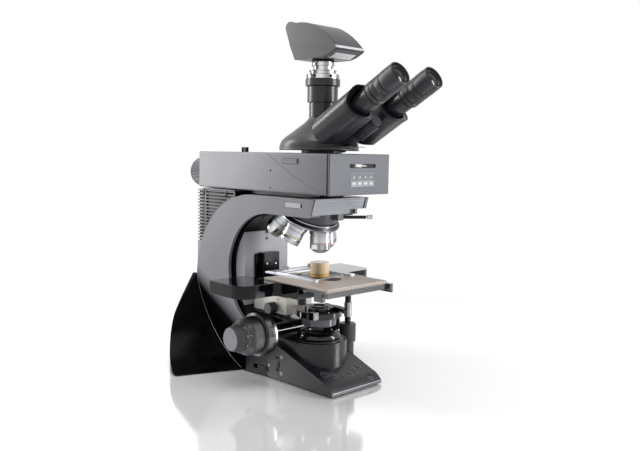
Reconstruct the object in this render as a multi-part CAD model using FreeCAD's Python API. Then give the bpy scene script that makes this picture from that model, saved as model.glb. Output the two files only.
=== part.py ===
import FreeCAD, Part
import math
import os

# Materials microscope: C-shaped stand, incident-light illuminator box, tilted revolver with five
# objectives, XY stage, condenser carrier, trinocular tube and camera. All sizes in millimetres.
# Working frame while building: optical axis on X = 0, Y = 0, bench on Z = 0, user on the -Y side.

# Clearances
JOIN = 0.3            # air between soft or curved faces of different pieces
RUN = 0.05            # radial running clearance of a shaft in its bore
SLIDE = 0.4           # air between sliding flat faces

# Foot and base
FOOT_H = 2.0
FOOT_R = 10.0
FOOT_FRONT_X = 42.0
FOOT_FRONT_Y = -66.0
FOOT_REAR_X = 138.0
FOOT_REAR_Y = 172.0
PLATE_T = 3.0
BASE_WALL = 3.0
BASE_FRONT_Y = -86.0
BASE_FRONT_HALF = 54.8
BASE_MID_Y = 59.0
BASE_MID_HALF = 56.4
BASE_BACK_Y = 106.0
BASE_LIP_Z = 6.0
BASE_SLOPE_START_Y = -66.0
BASE_SLOPE_START_Z = 19.3
BASE_SLOPE_END_Y = 30.0
BASE_SLOPE_END_Z = 54.0
BASE_DECK_Z = 60.0

# Light port tower on the base
TOWER_R = 44.0
TOWER_HALF = BASE_MID_HALF - 10.4
TOWER_BACK_Y = 44.0
TOWER_Z = 66.0
PORT_BORE_R = 22.0
FIELD_RING_R = 34.0
FIELD_RING_H = 7.0
FIELD_LIP_R = 28.0
FIELD_LIP_H = 5.0
FIELD_LENS_R = 19.0
FIELD_LENS_T = 5.0

# Function keys on the sloping panel
KEY_COUNT = 6
KEY_ARC_R = 62.0
KEY_PITCH_DEG = 14.0
KEY_R = 5.0
KEY_PROUD = 0.6
KEY_STEM_R = 2.6
EXTRA_KEY_X = 35.5
EXTRA_KEY_Y = -78.0

# Thumb wheels on the left wall
BRIGHT_Y = 33.9
BRIGHT_Z = 26.5
BRIGHT_R = 15.0
BRIGHT_T = 6.0
BRIGHT_SLOT_H = 23.6
WHEEL_PROUD = 1.6
WHEEL_AIR = 0.6
INTENS_Y = 72.0
INTENS_Z = 13.5
INTENS_R = 22.0
INTENS_T = 6.0
INTENS_SLOT_W = 34.0
AXLE_R = 2.0

# Column, arm and side panels
FRAME_HALF = BASE_MID_HALF
CORE_HALF = 52.0
PANEL_IN = FRAME_HALF + JOIN
PANEL_OUT = 62.0
OUTER_ARC_R = 150.0
OUTER_ARC_Y = 95.0
OUTER_ARC_Z = 140.0
ARM_TOP_Z = OUTER_ARC_Z + OUTER_ARC_R
BACK_Y = OUTER_ARC_Y + OUTER_ARC_R
THROAT_R = 97.0
THROAT_Y = 57.0
THROAT_Z = 165.0
THROAT_START_DEG = -58.0
THROAT_GROOVE = 9.0
ARM_BOTTOM_Z = THROAT_Z + THROAT_R
ARM_FRONT_Y = -20.0
ARM_NOSE_Y = -44.0
ARM_NOSE_RAKE = 8.0
NOSE_HALF = 54.0
TRIM_TOP_Z = 143.0
TRIM_R = 220.0
TRIM_FOOT_Y = 115.0
ARM_SLOT_Y0 = -26.0
ARM_SLOT_Y1 = 13.5
ARM_SLOT_Z0 = 275.5
ARM_SLOT_Z1 = 283.1
SLIDER_BODY = 60.0

# Rear wings
WING_SWEEP = 0.38
WING_BELL = [(62.0, 144.0), (86.0, 113.7), (119.0, 74.8), (147.0, 40.0), (161.0, 12.0), (165.0, 2.0)]
WING_PLAN = [(165.0, 163.0), (155.5, 186.0), (143.0, 206.0), (118.0, 234.0), (86.0, 250.0), (56.0, 258.5)]

# Heat sink
FIN_COUNT = 16
FIN_PITCH = 5.6
FIN_T = 2.6
FIN_DEPTH = 14.0
SINK_HALF = 60.0
SINK_BELOW_BOX = 4.5
SINK_FRONT_Y = 140.0
SINK_WEB = 3.0
SINK_SIDE_DEPTH = 6.0
SINK_BAR_Y = 222.0

# Column front plate and stage carrier
FRONT_PLATE_Y = 130.0
FRONT_PLATE_HALF = 47.3
GUIDE_HALF = 31.5
GUIDE_DEPTH = 13.0
KEEPER_T = 2.5
GUIDE_BOTTOM_Z = 104.0
GUIDE_SPARE = 10.0
CARRIAGE_T = 9.0
CARRIAGE_LOW_Z = 114.0
CARRIAGE_TOP_Z = 171.0
BLOCK_HALF = 17.5
BLOCK_FRONT_Y = 116.0
BLOCK_TOP_Z = 190.0
CARRIER_ARM_HALF = 30.0
CARRIER_ARM_Y = 62.0
CARRIER_ARM_T = 11.0
FOCUS_UP = 6.5
FOCUS_DOWN = 5.0

# Stage
STAGE_Z = 165.0
STAGE_LOW_Z = 141.0
STAGE_FLOOR_T = 8.0
WING_Z = 161.0
STAGE_WING_X = 143.0
STAGE_WING_Y0 = 15.0
STAGE_WING_Y1 = 95.0
STAGE_WING_R = 26.0
STAGE_BEND_R = 12.0
CHANNEL_X = 72.0
STAGE_FLOOR_Y0 = -30.0
MIDDLE_X0 = -70.5
MIDDLE_X1 = 60.0
MIDDLE_Y0 = -89.0
MIDDLE_Y1 = 66.0
MIDDLE_LOW_Z = 156.0
CORE_X0 = -58.0
CORNER_X1 = -62.2
CORNER_Y0 = -77.5
CORNER_Y1 = -61.0
CORNER_LOW_Z = 143.5
RAIL_LOW_Z = 150.5
RAIL_W = 8.0
BRACKET_LOW_Z = 145.5
END_BRACKET_X = 68.0
TOP_X0 = -75.0
TOP_X1 = 53.0
TOP_Y0 = -93.0
TOP_Y1 = 46.0
TOP_T = 3.4
TOP_LIP_H = 5.5
STAGE_Y_TRAVEL = 20.0
GEAR_POT_X = -59.0
GEAR_POT_Y = -23.2
GEAR_POT_R = 6.8
GEAR_POT_H = 9.6
RUNNER_Y = 46.0
RUNNER_HALF = 5.0
STAGE_HOLE_X = -5.0
STAGE_HOLE_Y = -31.0
STAGE_HOLE_R = 15.5
LIGHT_HOLE_R = 21.0
INSERT_X0 = -31.0
INSERT_X1 = 34.0
INSERT_Y0 = -22.0
INSERT_Y1 = 32.0
INSERT_T = 1.6
SPECIMEN_R = 14.8
SPECIMEN_H = 22.9

# Specimen holder
HOLDER_Z_T = 2.6
HOLDER_ARM_X0 = -46.0
HOLDER_ARM_X1 = -35.0
HOLDER_ARM_Y0 = -36.0
HOLDER_BAR_Y0 = 58.0
HOLDER_BAR_Y1 = 78.0
HOLDER_RIGHT_X0 = 37.0
HOLDER_RIGHT_X1 = 50.0
HOLDER_RIGHT_Y0 = -30.0
HOLDER_KNOB_R = 4.0
HOLDER_KNOB_H = 5.0

# Coaxial stage drive
POST_X = 76.5      # clear of the right-hand focus knob by the radius of the stage knobs
POST_Y = 10.0
POST_SLEEVE_R = 6.2
POST_SLEEVE_Z0 = 88.0
POST_SLEEVE_Z1 = 112.0
POST_CORE_R = 5.0
POST_SHAFT_R = 2.5
Y_KNOB_R = 13.5
Y_KNOB_Z0 = 46.0
Y_KNOB_Z1 = 77.0
X_KNOB_R = 10.5
X_KNOB_Z0 = 18.0

# Focus drive
FOCUS_Y = 40.0
FOCUS_Z = 79.3
FOCUS_TUBE_R = 11.5
FOCUS_SHAFT_R = 5.0
KNOB_INNER_X = 78.5
CHROME_X = 83.0
TORQUE_X = 99.0
COARSE_X = 118.5
INDEX_X = 124.5
FINE_RING_X = 130.0
FINE_FACE_X = 145.0
CHROME_R = 32.2
TORQUE_R = 33.5
COARSE_R = 28.3
INDEX_R = 28.0
FINE_RING_R = 24.0
FINE_FACE_R = 17.5
RIGHT_INNER_X = BASE_MID_HALF + 1.2
RIGHT_KNOB_T = 4.5
RIGHT_KNOB_R = 28.0
FOCUS_BLOCK_HALF = 20.0
FOCUS_BLOCK_TOP_Z = 88.0

# Condenser carrier
COND_HALF = 28.0
COND_FRONT_Y = 47.0
COND_LOW_Z = 98.0
COND_TOP_Z = 126.0
COND_WALL = 7.0
COND_DROP = 4.0
COND_KNOB_Y = 74.0
COND_KNOB_Z = 107.0
COND_KNOB_R = 9.5
COND_KNOB_LEN = 16.0
COND_RING_R = 36.0
COND_SCREW_R = 1.6
COND_SCREWS = [(66.8, 121.0), (112.5, 117.0), (56.0, 102.5)]
COND_RING_Z0 = 102.0
COND_RING_Z1 = 112.0
COND_BARREL_R = 27.5
COND_BARREL_Z = 88.0
COND_BODY_R = 15.0
COND_LENS_R = 10.0
COND_LENS_Z = 118.5
CLAMP_X = -31.0
CLAMP_Y = -20.0
CLAMP_HALF = 5.5
CLAMP_TOP_Z = 114.5
LEVER_HUB_R = 23.0
LEVER_Z0 = 112.5
LEVER_Z1 = 117.0
LEVER_TIP_X = 9.3
LEVER_TIP_Y = -47.5
LEVER_TIP_R = 4.6

# Nosepiece turret
TURRET_APEX_Y = 35.6
TURRET_SEAT_Z = 235.0
TURRET_TILT = 24.3
TURRET_COUNT = 5
TURRET_RIM_R = 50.0
TURRET_RIM_D = 22.6
TURRET_TOP_D = 30.5
TURRET_TOP_R = 45.0
HOLDER_CONE_R = 44.0
SEAT_R = 17.4
SHOULDER_Z = 232.5
THREAD_R = 12.0
THREAD_H = 4.0
OBJECTIVE_R = 16.2
ROOM = 1.5
ROOM_REACH = 42.0

# Prism slider under the nose
SLIDER_ROD_X = 12.0
SLIDER_ROD_Y = -27.0
SLIDER_ROD_Z = 259.5
SLIDER_ROD_DEG = -33.0
SLIDER_ROD_R = 2.6
SLIDER_ROD_LEN = 52.0
SLIDER_KNOB_R = 3.6
SLIDER_KNOB_LEN = 10.0
SLIDER_BRACKET_X0 = 4.0
SLIDER_BRACKET_X1 = 16.0
NOTCH_X = 27.0
NOTCH_H = 10.0

# Illuminator box
BOX_HALF = 64.4
BOX_FRONT_Y = -82.5
BOX_BACK_Y = 234.0
BOX_GAP = 7.0
BOX_H = 60.3
BOX_Z0 = ARM_TOP_Z + BOX_GAP
BOX_Z1 = BOX_Z0 + BOX_H
SINK_TOP_Z = BOX_Z0 - SINK_BELOW_BOX
BOX_WALL = 2.5
BOX_SEAM = 0.8
PANEL_T = 5.0
SEAM_TOP_Y = 58.0
SEAM_MID_Y = -6.0
SEAM_MID_Z = BOX_Z0 + 27.3
SEAM_FOOT_Y = -77.0
BOX_SLOT_Y0 = -18.7
BOX_SLOT_Y1 = 18.3
BOX_SLOT_Z1 = BOX_Z1 - 8.3
BOX_SLOT_Z0 = BOX_SLOT_Z1 - 7.8
WINDOW_X0 = -22.6
WINDOW_X1 = 32.8
WINDOW_Z1 = BOX_Z1 - 14.6
WINDOW_Z0 = WINDOW_Z1 - 5.6
PEDESTAL_HALF = 40.0
LAMP_R = 27.0
LAMP_Z = BOX_Z0 + 23.0
LAMP_END_Y = 329.0
LAMP_ROUND = 19.0
LAMP_WALL = 7.2      # thick enough to hold the light tube
SNOUT_R = 20.0
SNOUT_END_Y = 40.0
TOP_POST_R = 2.6
TOP_POST_H = 8.0
TOP_POST_X = -38.0
TOP_POST_Y = 138.0
TOP_POST_PITCH = 8.0

# Tube head
HEAD_RING_R = 31.5
HEAD_Z0 = BOX_Z1 + 4.2
HEAD_DISC_R = 62.0
HEAD_DISC_Z1 = HEAD_Z0 + 6.5
HEAD_CENTRE_Y = 6.0
HEAD_H = 44.0
HEAD_TOP_Z = HEAD_DISC_Z1 + HEAD_H
TUBE_LOW_R = 20.5
HEAD_DOME = [
    (60.8, 0.0), (59.5, 7.0), (53.7, 14.0), (43.5, 22.0), (33.8, 30.0), (25.5, 37.0), (TUBE_LOW_R, HEAD_H),
]
TUBE_STEP_Z = HEAD_TOP_Z + 22.0
TUBE_UP_R = 23.5
COLLAR_R = 26.7
COLLAR_Z0 = TUBE_STEP_Z + 25.0
COLLAR_Z1 = COLLAR_Z0 + 11.0
MOUNT_RING_R = 25.5
MOUNT_RING_Z = COLLAR_Z1 + 7.0
MOUNT_SPIGOT_R = 18.7
MOUNT_SPIGOT_H = 8.0
MOUNT_NECK_R = 20.0
MOUNT_NECK_Z = MOUNT_RING_Z + 6.0
MOUNT_TOP_R = 15.0
MOUNT_TOP_Z = MOUNT_NECK_Z + 13.0
CAMERA_SEAT_R = 17.0
CAMERA_SEAT_Z = MOUNT_TOP_Z + 3.5

# Camera
CAM_HALF = 30.5
CAM_PLATE_T = 3.0
CAM_GROOVE = 0.8
CAM_TOP = [(36.0, 55.0), (18.0, 54.4), (0.0, 51.2), (-20.0, 42.4), (-38.0, 30.2), (-54.0, 15.4)]
CAM_NOSE = [(-56.6, 12.0), (-54.0, 8.6)]
CAM_UNDER = [(-45.0, 4.0), (-36.0, 0.8), (-26.0, -0.8)]
CAM_BACK = [(31.6, -0.4), (42.0, 20.0), (53.4, 49.0), (52.0, 53.0)]

# Binocular
EYE_X = 36.4
EYE_RIM_Y = -184.0
EYE_RIM_Z = HEAD_DISC_Z1 + 97.5
EYE_DEG = 30.0
POD_IN = 10.5
POD_OUT = 62.0
POD_BACK_S = 160.0
POD_ABOVE = 24.0
POD_BELOW = 22.5
POD_ROUND = 20.0
POD_HOOD_S = 62.0
POD_HOOD_N = -20.6
POD_RIM = [(-16.5, 72.0), (-5.0, 83.0), (5.0, 84.0), (15.0, 81.0), (23.0, 76.5)]
POD_RECESS_R = 18.6
POD_RECESS_S = 96.0
HUB_N = 14.0
HUB_R = 9.8
HUB_FRONT_S = 92.0
KNUCKLE_R = 12.2
KNUCKLE_LEN = 18.0
EYE_CUP_R = 17.0
EYE_CUP_S = 24.6
EYE_BODY_R = 17.2
EYE_BODY_S = 45.0
EYE_RING_S = 53.0
EYE_TUBE_R = 15.4
EYE_SLEEVE_R = 11.6
EYE_SLEEVE_S = 92.0
EYE_TUBE_S = 104.0
EYE_LENS_R = 11.0

V = FreeCAD.Vector
X_AXIS = V(1, 0, 0)
Y_AXIS = V(0, 1, 0)
Z_AXIS = V(0, 0, 1)
AXES = {
    "yz": lambda a, b, c: V(c, a, b),
    "xz": lambda a, b, c: V(a, c, b),
    "xy": lambda a, b, c: V(a, b, c),
}
NORMALS = {"yz": X_AXIS, "xz": Y_AXIS, "xy": Z_AXIS}


# Small modelling helpers

def box(x0, x1, y0, y1, z0, z1):
    return Part.makeBox(x1 - x0, y1 - y0, z1 - z0, V(x0, y0, z0))


def rod(base, axis, radius, length):
    return Part.makeCylinder(radius, length, base, axis)


def ring(base, axis, outer, inner, length):
    return rod(base, axis, outer, length).cut(rod(base, axis, inner, length))


def wire(plane, level, start, steps):
    """Closed outline. A step is an end point, a (middle, end) pair for an arc, or a list for a curve."""
    place = AXES[plane]
    here = place(start[0], start[1], level)
    edges = []
    for step in steps:
        if isinstance(step, list):
            points = [here] + [place(a, b, level) for a, b in step]
            curve = Part.BSplineCurve()
            curve.interpolate(points)
            edges.append(curve.toShape())
            end = points[-1]
        elif isinstance(step[0], tuple):
            middle, end = (place(p[0], p[1], level) for p in step)
            edges.append(Part.Arc(here, middle, end).toShape())
        else:
            end = place(step[0], step[1], level)
            edges.append(Part.makeLine(here, end))
        here = end
    first = place(start[0], start[1], level)
    if (here - first).Length > 1e-6:
        edges.append(Part.makeLine(here, first))
    return Part.Wire(edges)


def prism(plane, low, high, start, steps):
    """Extrude a closed outline between two levels of the plane's normal."""
    face = Part.Face(wire(plane, low, start, steps))
    return face.extrude(NORMALS[plane] * (high - low))


def turned(base, axis, profile):
    """Turn a closed (radius, distance) profile about an axis through base."""
    points = [V(r, 0, d) for r, d in profile]
    points.append(points[0])
    solid = Part.Face(Part.makePolygon(points)).revolve(V(0, 0, 0), Z_AXIS, 360)
    solid.Placement = FreeCAD.Placement(base, FreeCAD.Rotation(Z_AXIS, axis))
    return solid


def fuse(first, *others):
    return first.fuse(list(others)).removeSplitter()


def cut(body, *tools):
    return body.cut(list(tools))


def mirror_x(shape):
    return shape.mirror(V(0, 0, 0), X_AXIS)


def round_edges(shape, radius, chosen):
    """Fillet the straight or curved edges that the test picks."""
    edges = [e for e in shape.Edges if chosen(e)]
    return shape.makeFillet(radius, edges)


def arc_point(centre_y, centre_z, radius, degrees):
    angle = math.radians(degrees)
    return (centre_y + radius * math.cos(angle), centre_z + radius * math.sin(angle))


# Stand outlines in the Y-Z plane

def throat_points(radius):
    start_deg = THROAT_START_DEG
    top = (THROAT_Y, THROAT_Z + radius)
    middle = arc_point(THROAT_Y, THROAT_Z, radius, 0.5 * (start_deg + 90))
    start = arc_point(THROAT_Y, THROAT_Z, radius, start_deg)
    return start, middle, top


def c_outline(radius, front_y, low_z):
    """Outline of the C: front of the foot, throat, arm, outer arc and back."""
    start, middle, top = throat_points(radius)
    arm_low = THROAT_Z + radius
    outer_mid = arc_point(OUTER_ARC_Y, OUTER_ARC_Z, OUTER_ARC_R, 45)
    first = (start[0], low_z)
    steps = [
        start,
        (middle, top),
        (front_y, arm_low),
        (front_y, ARM_TOP_Z),
        (OUTER_ARC_Y, ARM_TOP_Z),
        (outer_mid, (OUTER_ARC_Y + OUTER_ARC_R, OUTER_ARC_Z)),
        (BACK_Y, low_z),
    ]
    return first, steps


def trim_centre():
    """Centre of the trim arc, which starts at the back edge and ends at the foot."""
    y1, z1, y2, z2 = BACK_Y, TRIM_TOP_Z, TRIM_FOOT_Y, FOOT_H
    half = 0.5 * math.hypot(y1 - y2, z1 - z2)
    rise = math.sqrt(TRIM_R ** 2 - half ** 2)
    mid_y, mid_z = 0.5 * (y1 + y2), 0.5 * (z1 + z2)
    along = ((y1 - y2) / (2 * half), (z1 - z2) / (2 * half))
    return mid_y - rise * along[1], mid_z + rise * along[0]


def trim_middle(offset=0.0):
    cy, cz = trim_centre()
    y = 0.5 * (BACK_Y + TRIM_FOOT_Y) - cy
    z = 0.5 * (TRIM_TOP_Z + FOOT_H) - cz
    length = math.hypot(y, z)
    return (cy + y / length * (TRIM_R + offset), cz + z / length * (TRIM_R + offset))


# Base

def base_top_z(y):
    """Height of the sloping key panel at a given Y."""
    run = BASE_SLOPE_END_Y - BASE_SLOPE_START_Y
    return BASE_SLOPE_START_Z + (BASE_SLOPE_END_Z - BASE_SLOPE_START_Z) * (y - BASE_SLOPE_START_Y) / run


def base_body(inset, low_z):
    """Block of the base below its sloping top, drawn in by an even wall."""
    front = BASE_FRONT_Y + inset
    half_f = BASE_FRONT_HALF - inset
    half_m = BASE_MID_HALF - inset
    half_b = PANEL_OUT - inset
    plan = prism("xy", low_z, BASE_DECK_Z + 20, (-half_f, front), [
        (half_f, front),
        (half_m, BASE_MID_Y),
        (half_b, BASE_BACK_Y),
        (-half_b, BASE_BACK_Y),
        (-half_m, BASE_MID_Y),
    ])
    lip = BASE_LIP_Z - inset
    curve = (0.5 * (front + BASE_SLOPE_START_Y) - 1.5, 0.5 * (lip + BASE_SLOPE_START_Z - inset) + 1.5)
    side = prism("yz", -80, 80, (front, low_z), [
        (front, max(lip, low_z + 0.5)),
        (curve, (BASE_SLOPE_START_Y, BASE_SLOPE_START_Z - inset)),
        (BASE_SLOPE_END_Y, BASE_SLOPE_END_Z - inset),
        (BASE_MID_Y - 10, BASE_DECK_Z - inset),
        (BASE_BACK_Y, BASE_DECK_Z - inset),
        (BASE_BACK_Y, low_z),
    ])
    return plan.common(side)


def tower(radius, half, back_y, low_z, high_z):
    return prism("xy", low_z, high_z, (-half, back_y), [
        (-half, 0),
        ((0, -radius), (half, 0)),
        (half, back_y),
    ])


def key_places():
    """Plan positions of the six keys round the light port and of the single key."""
    places = []
    for i in range(KEY_COUNT):
        angle = math.radians((i - (KEY_COUNT - 1) / 2) * KEY_PITCH_DEG)
        places.append((KEY_ARC_R * math.sin(angle), -KEY_ARC_R * math.cos(angle)))
    places.append((EXTRA_KEY_X, EXTRA_KEY_Y))
    return places


def slope_normal():
    run = BASE_SLOPE_END_Y - BASE_SLOPE_START_Y
    rise = BASE_SLOPE_END_Z - BASE_SLOPE_START_Z
    length = math.hypot(run, rise)
    return V(0, -rise / length, run / length)


def panel_point(x, y):
    """Point on the panel's outer surface, on the curved lip too."""
    z = base_top_z(y)
    if y < BASE_SLOPE_START_Y:
        share = (BASE_SLOPE_START_Y - y) / (BASE_SLOPE_START_Y - BASE_FRONT_Y)
        z = z - 5.5 * share ** 2
    return V(x, y, z)


def base_housing():
    outer = base_body(0, FOOT_H)
    outer = outer.fuse(tower(TOWER_R, TOWER_HALF, TOWER_BACK_Y, BASE_LIP_Z, TOWER_Z)).removeSplitter()
    inner = base_body(BASE_WALL, FOOT_H)
    well = tower(TOWER_R - BASE_WALL, TOWER_HALF - BASE_WALL, TOWER_BACK_Y - BASE_WALL,
                 FOOT_H, TOWER_Z - BASE_WALL)
    shell = cut(outer, inner, well)
    tools = [rod(V(0, 0, TOWER_Z - 10), Z_AXIS, PORT_BORE_R, 20)]
    normal = slope_normal()
    for x, y in key_places():
        top = panel_point(x, y)
        tools.append(rod(top - normal * 12, normal, KEY_R + 0.25, 24))
    half, front = plate_edges()
    tools.append(box(-half - JOIN, half + JOIN, front - JOIN, BACK_Y, FOOT_H, FOOT_H + PLATE_T + JOIN))
    wall_x = BASE_MID_HALF
    wide = 0.5 * BRIGHT_T + WHEEL_AIR
    high = 0.5 * BRIGHT_SLOT_H
    tools.append(box(-wall_x - 2, -wall_x + 12, BRIGHT_Y - wide, BRIGHT_Y + wide,
                     BRIGHT_Z - high, BRIGHT_Z + high))
    wide = 0.5 * INTENS_SLOT_W
    high = 0.5 * INTENS_T + WHEEL_AIR
    tools.append(box(-PANEL_OUT - 2, -wall_x + 12, INTENS_Y - wide, INTENS_Y + wide,
                     INTENS_Z - high, INTENS_Z + high))
    shell = cut(shell, *tools)
    posts = base_posts()
    return fuse(shell, *posts)


def base_posts():
    """Bearing posts of the two thumb wheels, standing off the wall or the deck inside."""
    hub_x = bright_hub_x()
    wall = -BASE_MID_HALF + BASE_WALL - 1
    y0 = BRIGHT_Y - 0.5 * BRIGHT_T - WHEEL_AIR
    y1 = BRIGHT_Y + 0.5 * BRIGHT_T + WHEEL_AIR
    cheek = 4.0
    posts = []
    for low, high in ((y0 - cheek, y0), (y1, y1 + cheek)):
        plate = box(wall, hub_x + 6, low, high, BRIGHT_Z - 6, BRIGHT_Z + 6)
        posts.append(cut(plate, rod(V(hub_x, low - 1, BRIGHT_Z), Y_AXIS, AXLE_R + RUN, cheek + 2)))
    hub_x = intens_hub_x()
    ear_low = INTENS_Z + 0.5 * INTENS_T + WHEEL_AIR
    ear = box(-BASE_MID_HALF + BASE_WALL - 1, hub_x + 6, INTENS_Y - 7, INTENS_Y + 7, ear_low, ear_low + 5)
    posts.append(cut(ear, rod(V(hub_x, INTENS_Y, ear_low - 1), Z_AXIS, AXLE_R + RUN, 7)))
    return posts


def bright_hub_x():
    return -wall_x_at(BRIGHT_Y) - WHEEL_PROUD + BRIGHT_R


def intens_hub_x():
    return -wall_x_at(INTENS_Y) - WHEEL_PROUD + INTENS_R


def wall_x_at(y):
    """Half width of the base's outer wall at a given Y."""
    if y < BASE_MID_Y:
        share = (y - BASE_FRONT_Y) / (BASE_MID_Y - BASE_FRONT_Y)
        return BASE_FRONT_HALF + share * (BASE_MID_HALF - BASE_FRONT_HALF)
    share = (y - BASE_MID_Y) / (BASE_BACK_Y - BASE_MID_Y)
    return BASE_MID_HALF + share * (PANEL_OUT - BASE_MID_HALF)


def plate_edges():
    """Half width and front edge of the bottom plate."""
    return BASE_FRONT_HALF - BASE_WALL - JOIN, BASE_FRONT_Y + BASE_WALL + JOIN


def base_plate():
    half, front = plate_edges()
    return box(-half, half, front, BACK_Y - 6, FOOT_H, FOOT_H + PLATE_T)


def rubber_feet():
    feet = []
    for side in (-1, 1):
        for x, y in ((FOOT_FRONT_X, FOOT_FRONT_Y), (FOOT_REAR_X, FOOT_REAR_Y)):
            foot = rod(V(side * x, y, 0), Z_AXIS, FOOT_R, FOOT_H)
            feet.append(foot.makeChamfer(0.5, [e for e in foot.Edges if e.BoundBox.ZMax < 0.1]))
    return feet


def brightness_wheel():
    hub = V(bright_hub_x(), BRIGHT_Y - 0.5 * BRIGHT_T, BRIGHT_Z)
    wheel = rod(hub, Y_AXIS, BRIGHT_R, BRIGHT_T)
    axle = rod(hub - Y_AXIS * 4, Y_AXIS, AXLE_R, BRIGHT_T + 8)
    return fuse(wheel, axle)


def intensity_wheel():
    hub = V(intens_hub_x(), INTENS_Y, INTENS_Z - 0.5 * INTENS_T)
    wheel = rod(hub, Z_AXIS, INTENS_R, INTENS_T)
    floor = FOOT_H + PLATE_T + JOIN
    axle = rod(V(hub.x, hub.y, floor), Z_AXIS, AXLE_R, INTENS_Z + 0.5 * INTENS_T + 5 - floor)
    return fuse(wheel, axle)


def key(x, y):
    """One push key: a cap standing just proud of the panel on a short stem."""
    normal = slope_normal()
    top = panel_point(x, y)
    cap = rod(top - normal * 3.4, normal, KEY_R, 3.4 + KEY_PROUD)
    stem = rod(top - normal * 6.0, normal, KEY_STEM_R, 4.0)
    return fuse(cap, stem)


def field_ring():
    """Ring of the field diaphragm: a wide flange and a raised lip round the lens."""
    base = V(0, 0, TOWER_Z + JOIN)
    lip = FIELD_RING_H + FIELD_LIP_H
    bore = FIELD_LENS_R + JOIN
    body = turned(base, Z_AXIS, [
        (bore, 0), (FIELD_RING_R - 2, 0), (FIELD_RING_R, 2), (FIELD_RING_R, FIELD_RING_H - 2.5),
        (FIELD_RING_R - 2.5, FIELD_RING_H), (FIELD_LIP_R + 0.5, FIELD_RING_H),
        (FIELD_LIP_R, FIELD_RING_H + 0.5), (FIELD_LIP_R, lip - 1), (FIELD_LIP_R - 1, lip),
        (FIELD_LIP_R - 3, lip), (bore + 1, lip - 4), (bore, lip - 5),
    ])
    collar = ring(V(0, 0, TOWER_Z - 8), Z_AXIS, PORT_BORE_R - RUN, bore, 8 + 2 * JOIN)
    return fuse(body, collar)


# Column and arm

def column_frame():
    low = FOOT_H + PLATE_T + JOIN
    first, steps = c_outline(THROAT_R - 1.5, ARM_FRONT_Y, low)
    core = prism("yz", -CORE_HALF, CORE_HALF, first, steps)
    first, steps = c_outline(THROAT_R + THROAT_GROOVE, ARM_FRONT_Y, low)
    frame = fuse(core, prism("yz", -FRAME_HALF, FRAME_HALF, first, steps))
    slot = box(-FRAME_HALF - 1, -FRAME_HALF + SLIDER_BODY, ARM_SLOT_Y0 - SLIDE, ARM_SLOT_Y1 + SLIDE,
               ARM_SLOT_Z0 - SLIDE, ARM_SLOT_Z1 + SLIDE)
    light = rod(V(0, 0, ARM_BOTTOM_Z - 30), Z_AXIS, 18, 80)
    cavity = box(-40, 40, 165, BACK_Y - 12, low + 20, 210)
    cable_way = box(-30, 30, 178, 216, 200, ARM_TOP_Z - 40)
    way = box(-GUIDE_HALF, GUIDE_HALF, THROAT_Y, FRONT_PLATE_Y + GUIDE_DEPTH, guide_floor_z(), guide_top_z())
    return cut(frame, slot, light, cavity, cable_way, way, turret_room())


def guide_floor_z():
    """Lower end of the guide way: the condenser bracket at the bottom of both travels."""
    return COND_LOW_Z - FOCUS_DOWN - COND_DROP - 3


def guide_top_z():
    return CARRIAGE_TOP_Z + FOCUS_UP + GUIDE_SPARE


def turret_room():
    """Space for the turning turret, its objectives and the fixed cone, swept about the turret's axis."""
    apex, axis = turret_axis()
    tilt = math.radians(TURRET_TILT)
    seat = V(0, 0, SHOULDER_Z) - apex
    seat_r = math.hypot(seat.x, seat.y * math.cos(tilt) + seat.z * math.sin(tilt))
    seat_d = seat * axis
    half = OBJECTIVE_R + ROOM
    reach = ROOM_REACH
    sin_t, cos_t = math.sin(tilt), math.cos(tilt)
    swept = turned(apex, axis, [
        (0, seat_d - reach * cos_t - half * sin_t),
        (seat_r + reach * sin_t, seat_d - reach * cos_t - half * sin_t),
        (seat_r + reach * sin_t + half * cos_t, seat_d - reach * cos_t + half * sin_t),
        (seat_r + half * cos_t, seat_d + half * sin_t),
        (TURRET_RIM_R + ROOM, TURRET_RIM_D - 2),
        (TURRET_RIM_R + ROOM, TURRET_TOP_D + ROOM),
        (0, TURRET_TOP_D + ROOM),
    ])
    cone = rod(apex + axis * (TURRET_TOP_D - 2), axis, HOLDER_CONE_R + JOIN, 60)
    return swept.fuse(cone)


def side_panel():
    start, middle, top = throat_points(THROAT_R)
    outer_mid = arc_point(OUTER_ARC_Y, OUTER_ARC_Z, OUTER_ARC_R, 45)
    outer_end = OUTER_ARC_Y + math.sqrt(OUTER_ARC_R ** 2 - (TRIM_TOP_Z - OUTER_ARC_Z) ** 2)
    low = (BASE_BACK_Y + JOIN, FOOT_H)
    steps = [
        (BASE_BACK_Y + JOIN, BASE_DECK_Z),
        start,
        (middle, top),
        (ARM_NOSE_Y + ARM_NOSE_RAKE, THROAT_Z + THROAT_R),
        (ARM_NOSE_Y, ARM_TOP_Z),
        (OUTER_ARC_Y, ARM_TOP_Z),
        (outer_mid, (outer_end, TRIM_TOP_Z)),
        (trim_middle(), (TRIM_FOOT_Y, FOOT_H)),
    ]
    panel = prism("yz", -PANEL_OUT, -PANEL_IN, low, steps)
    slot = box(-PANEL_OUT - 1, -PANEL_IN + 1, ARM_SLOT_Y0 - SLIDE, ARM_SLOT_Y1 + SLIDE,
               ARM_SLOT_Z0 - SLIDE, ARM_SLOT_Z1 + SLIDE)
    return panel, slot


def side_panels():
    """The right-hand panel is cut away round the hand slider of the nosepiece holder."""
    panel, slot = side_panel()
    notch = box(-PANEL_OUT - 1, -PANEL_IN + 1, ARM_NOSE_Y - 1, ARM_FRONT_Y, ARM_BOTTOM_Z - 1,
                ARM_BOTTOM_Z + NOTCH_H)
    return [cut(panel, slot), mirror_x(cut(panel, notch))]


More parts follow.
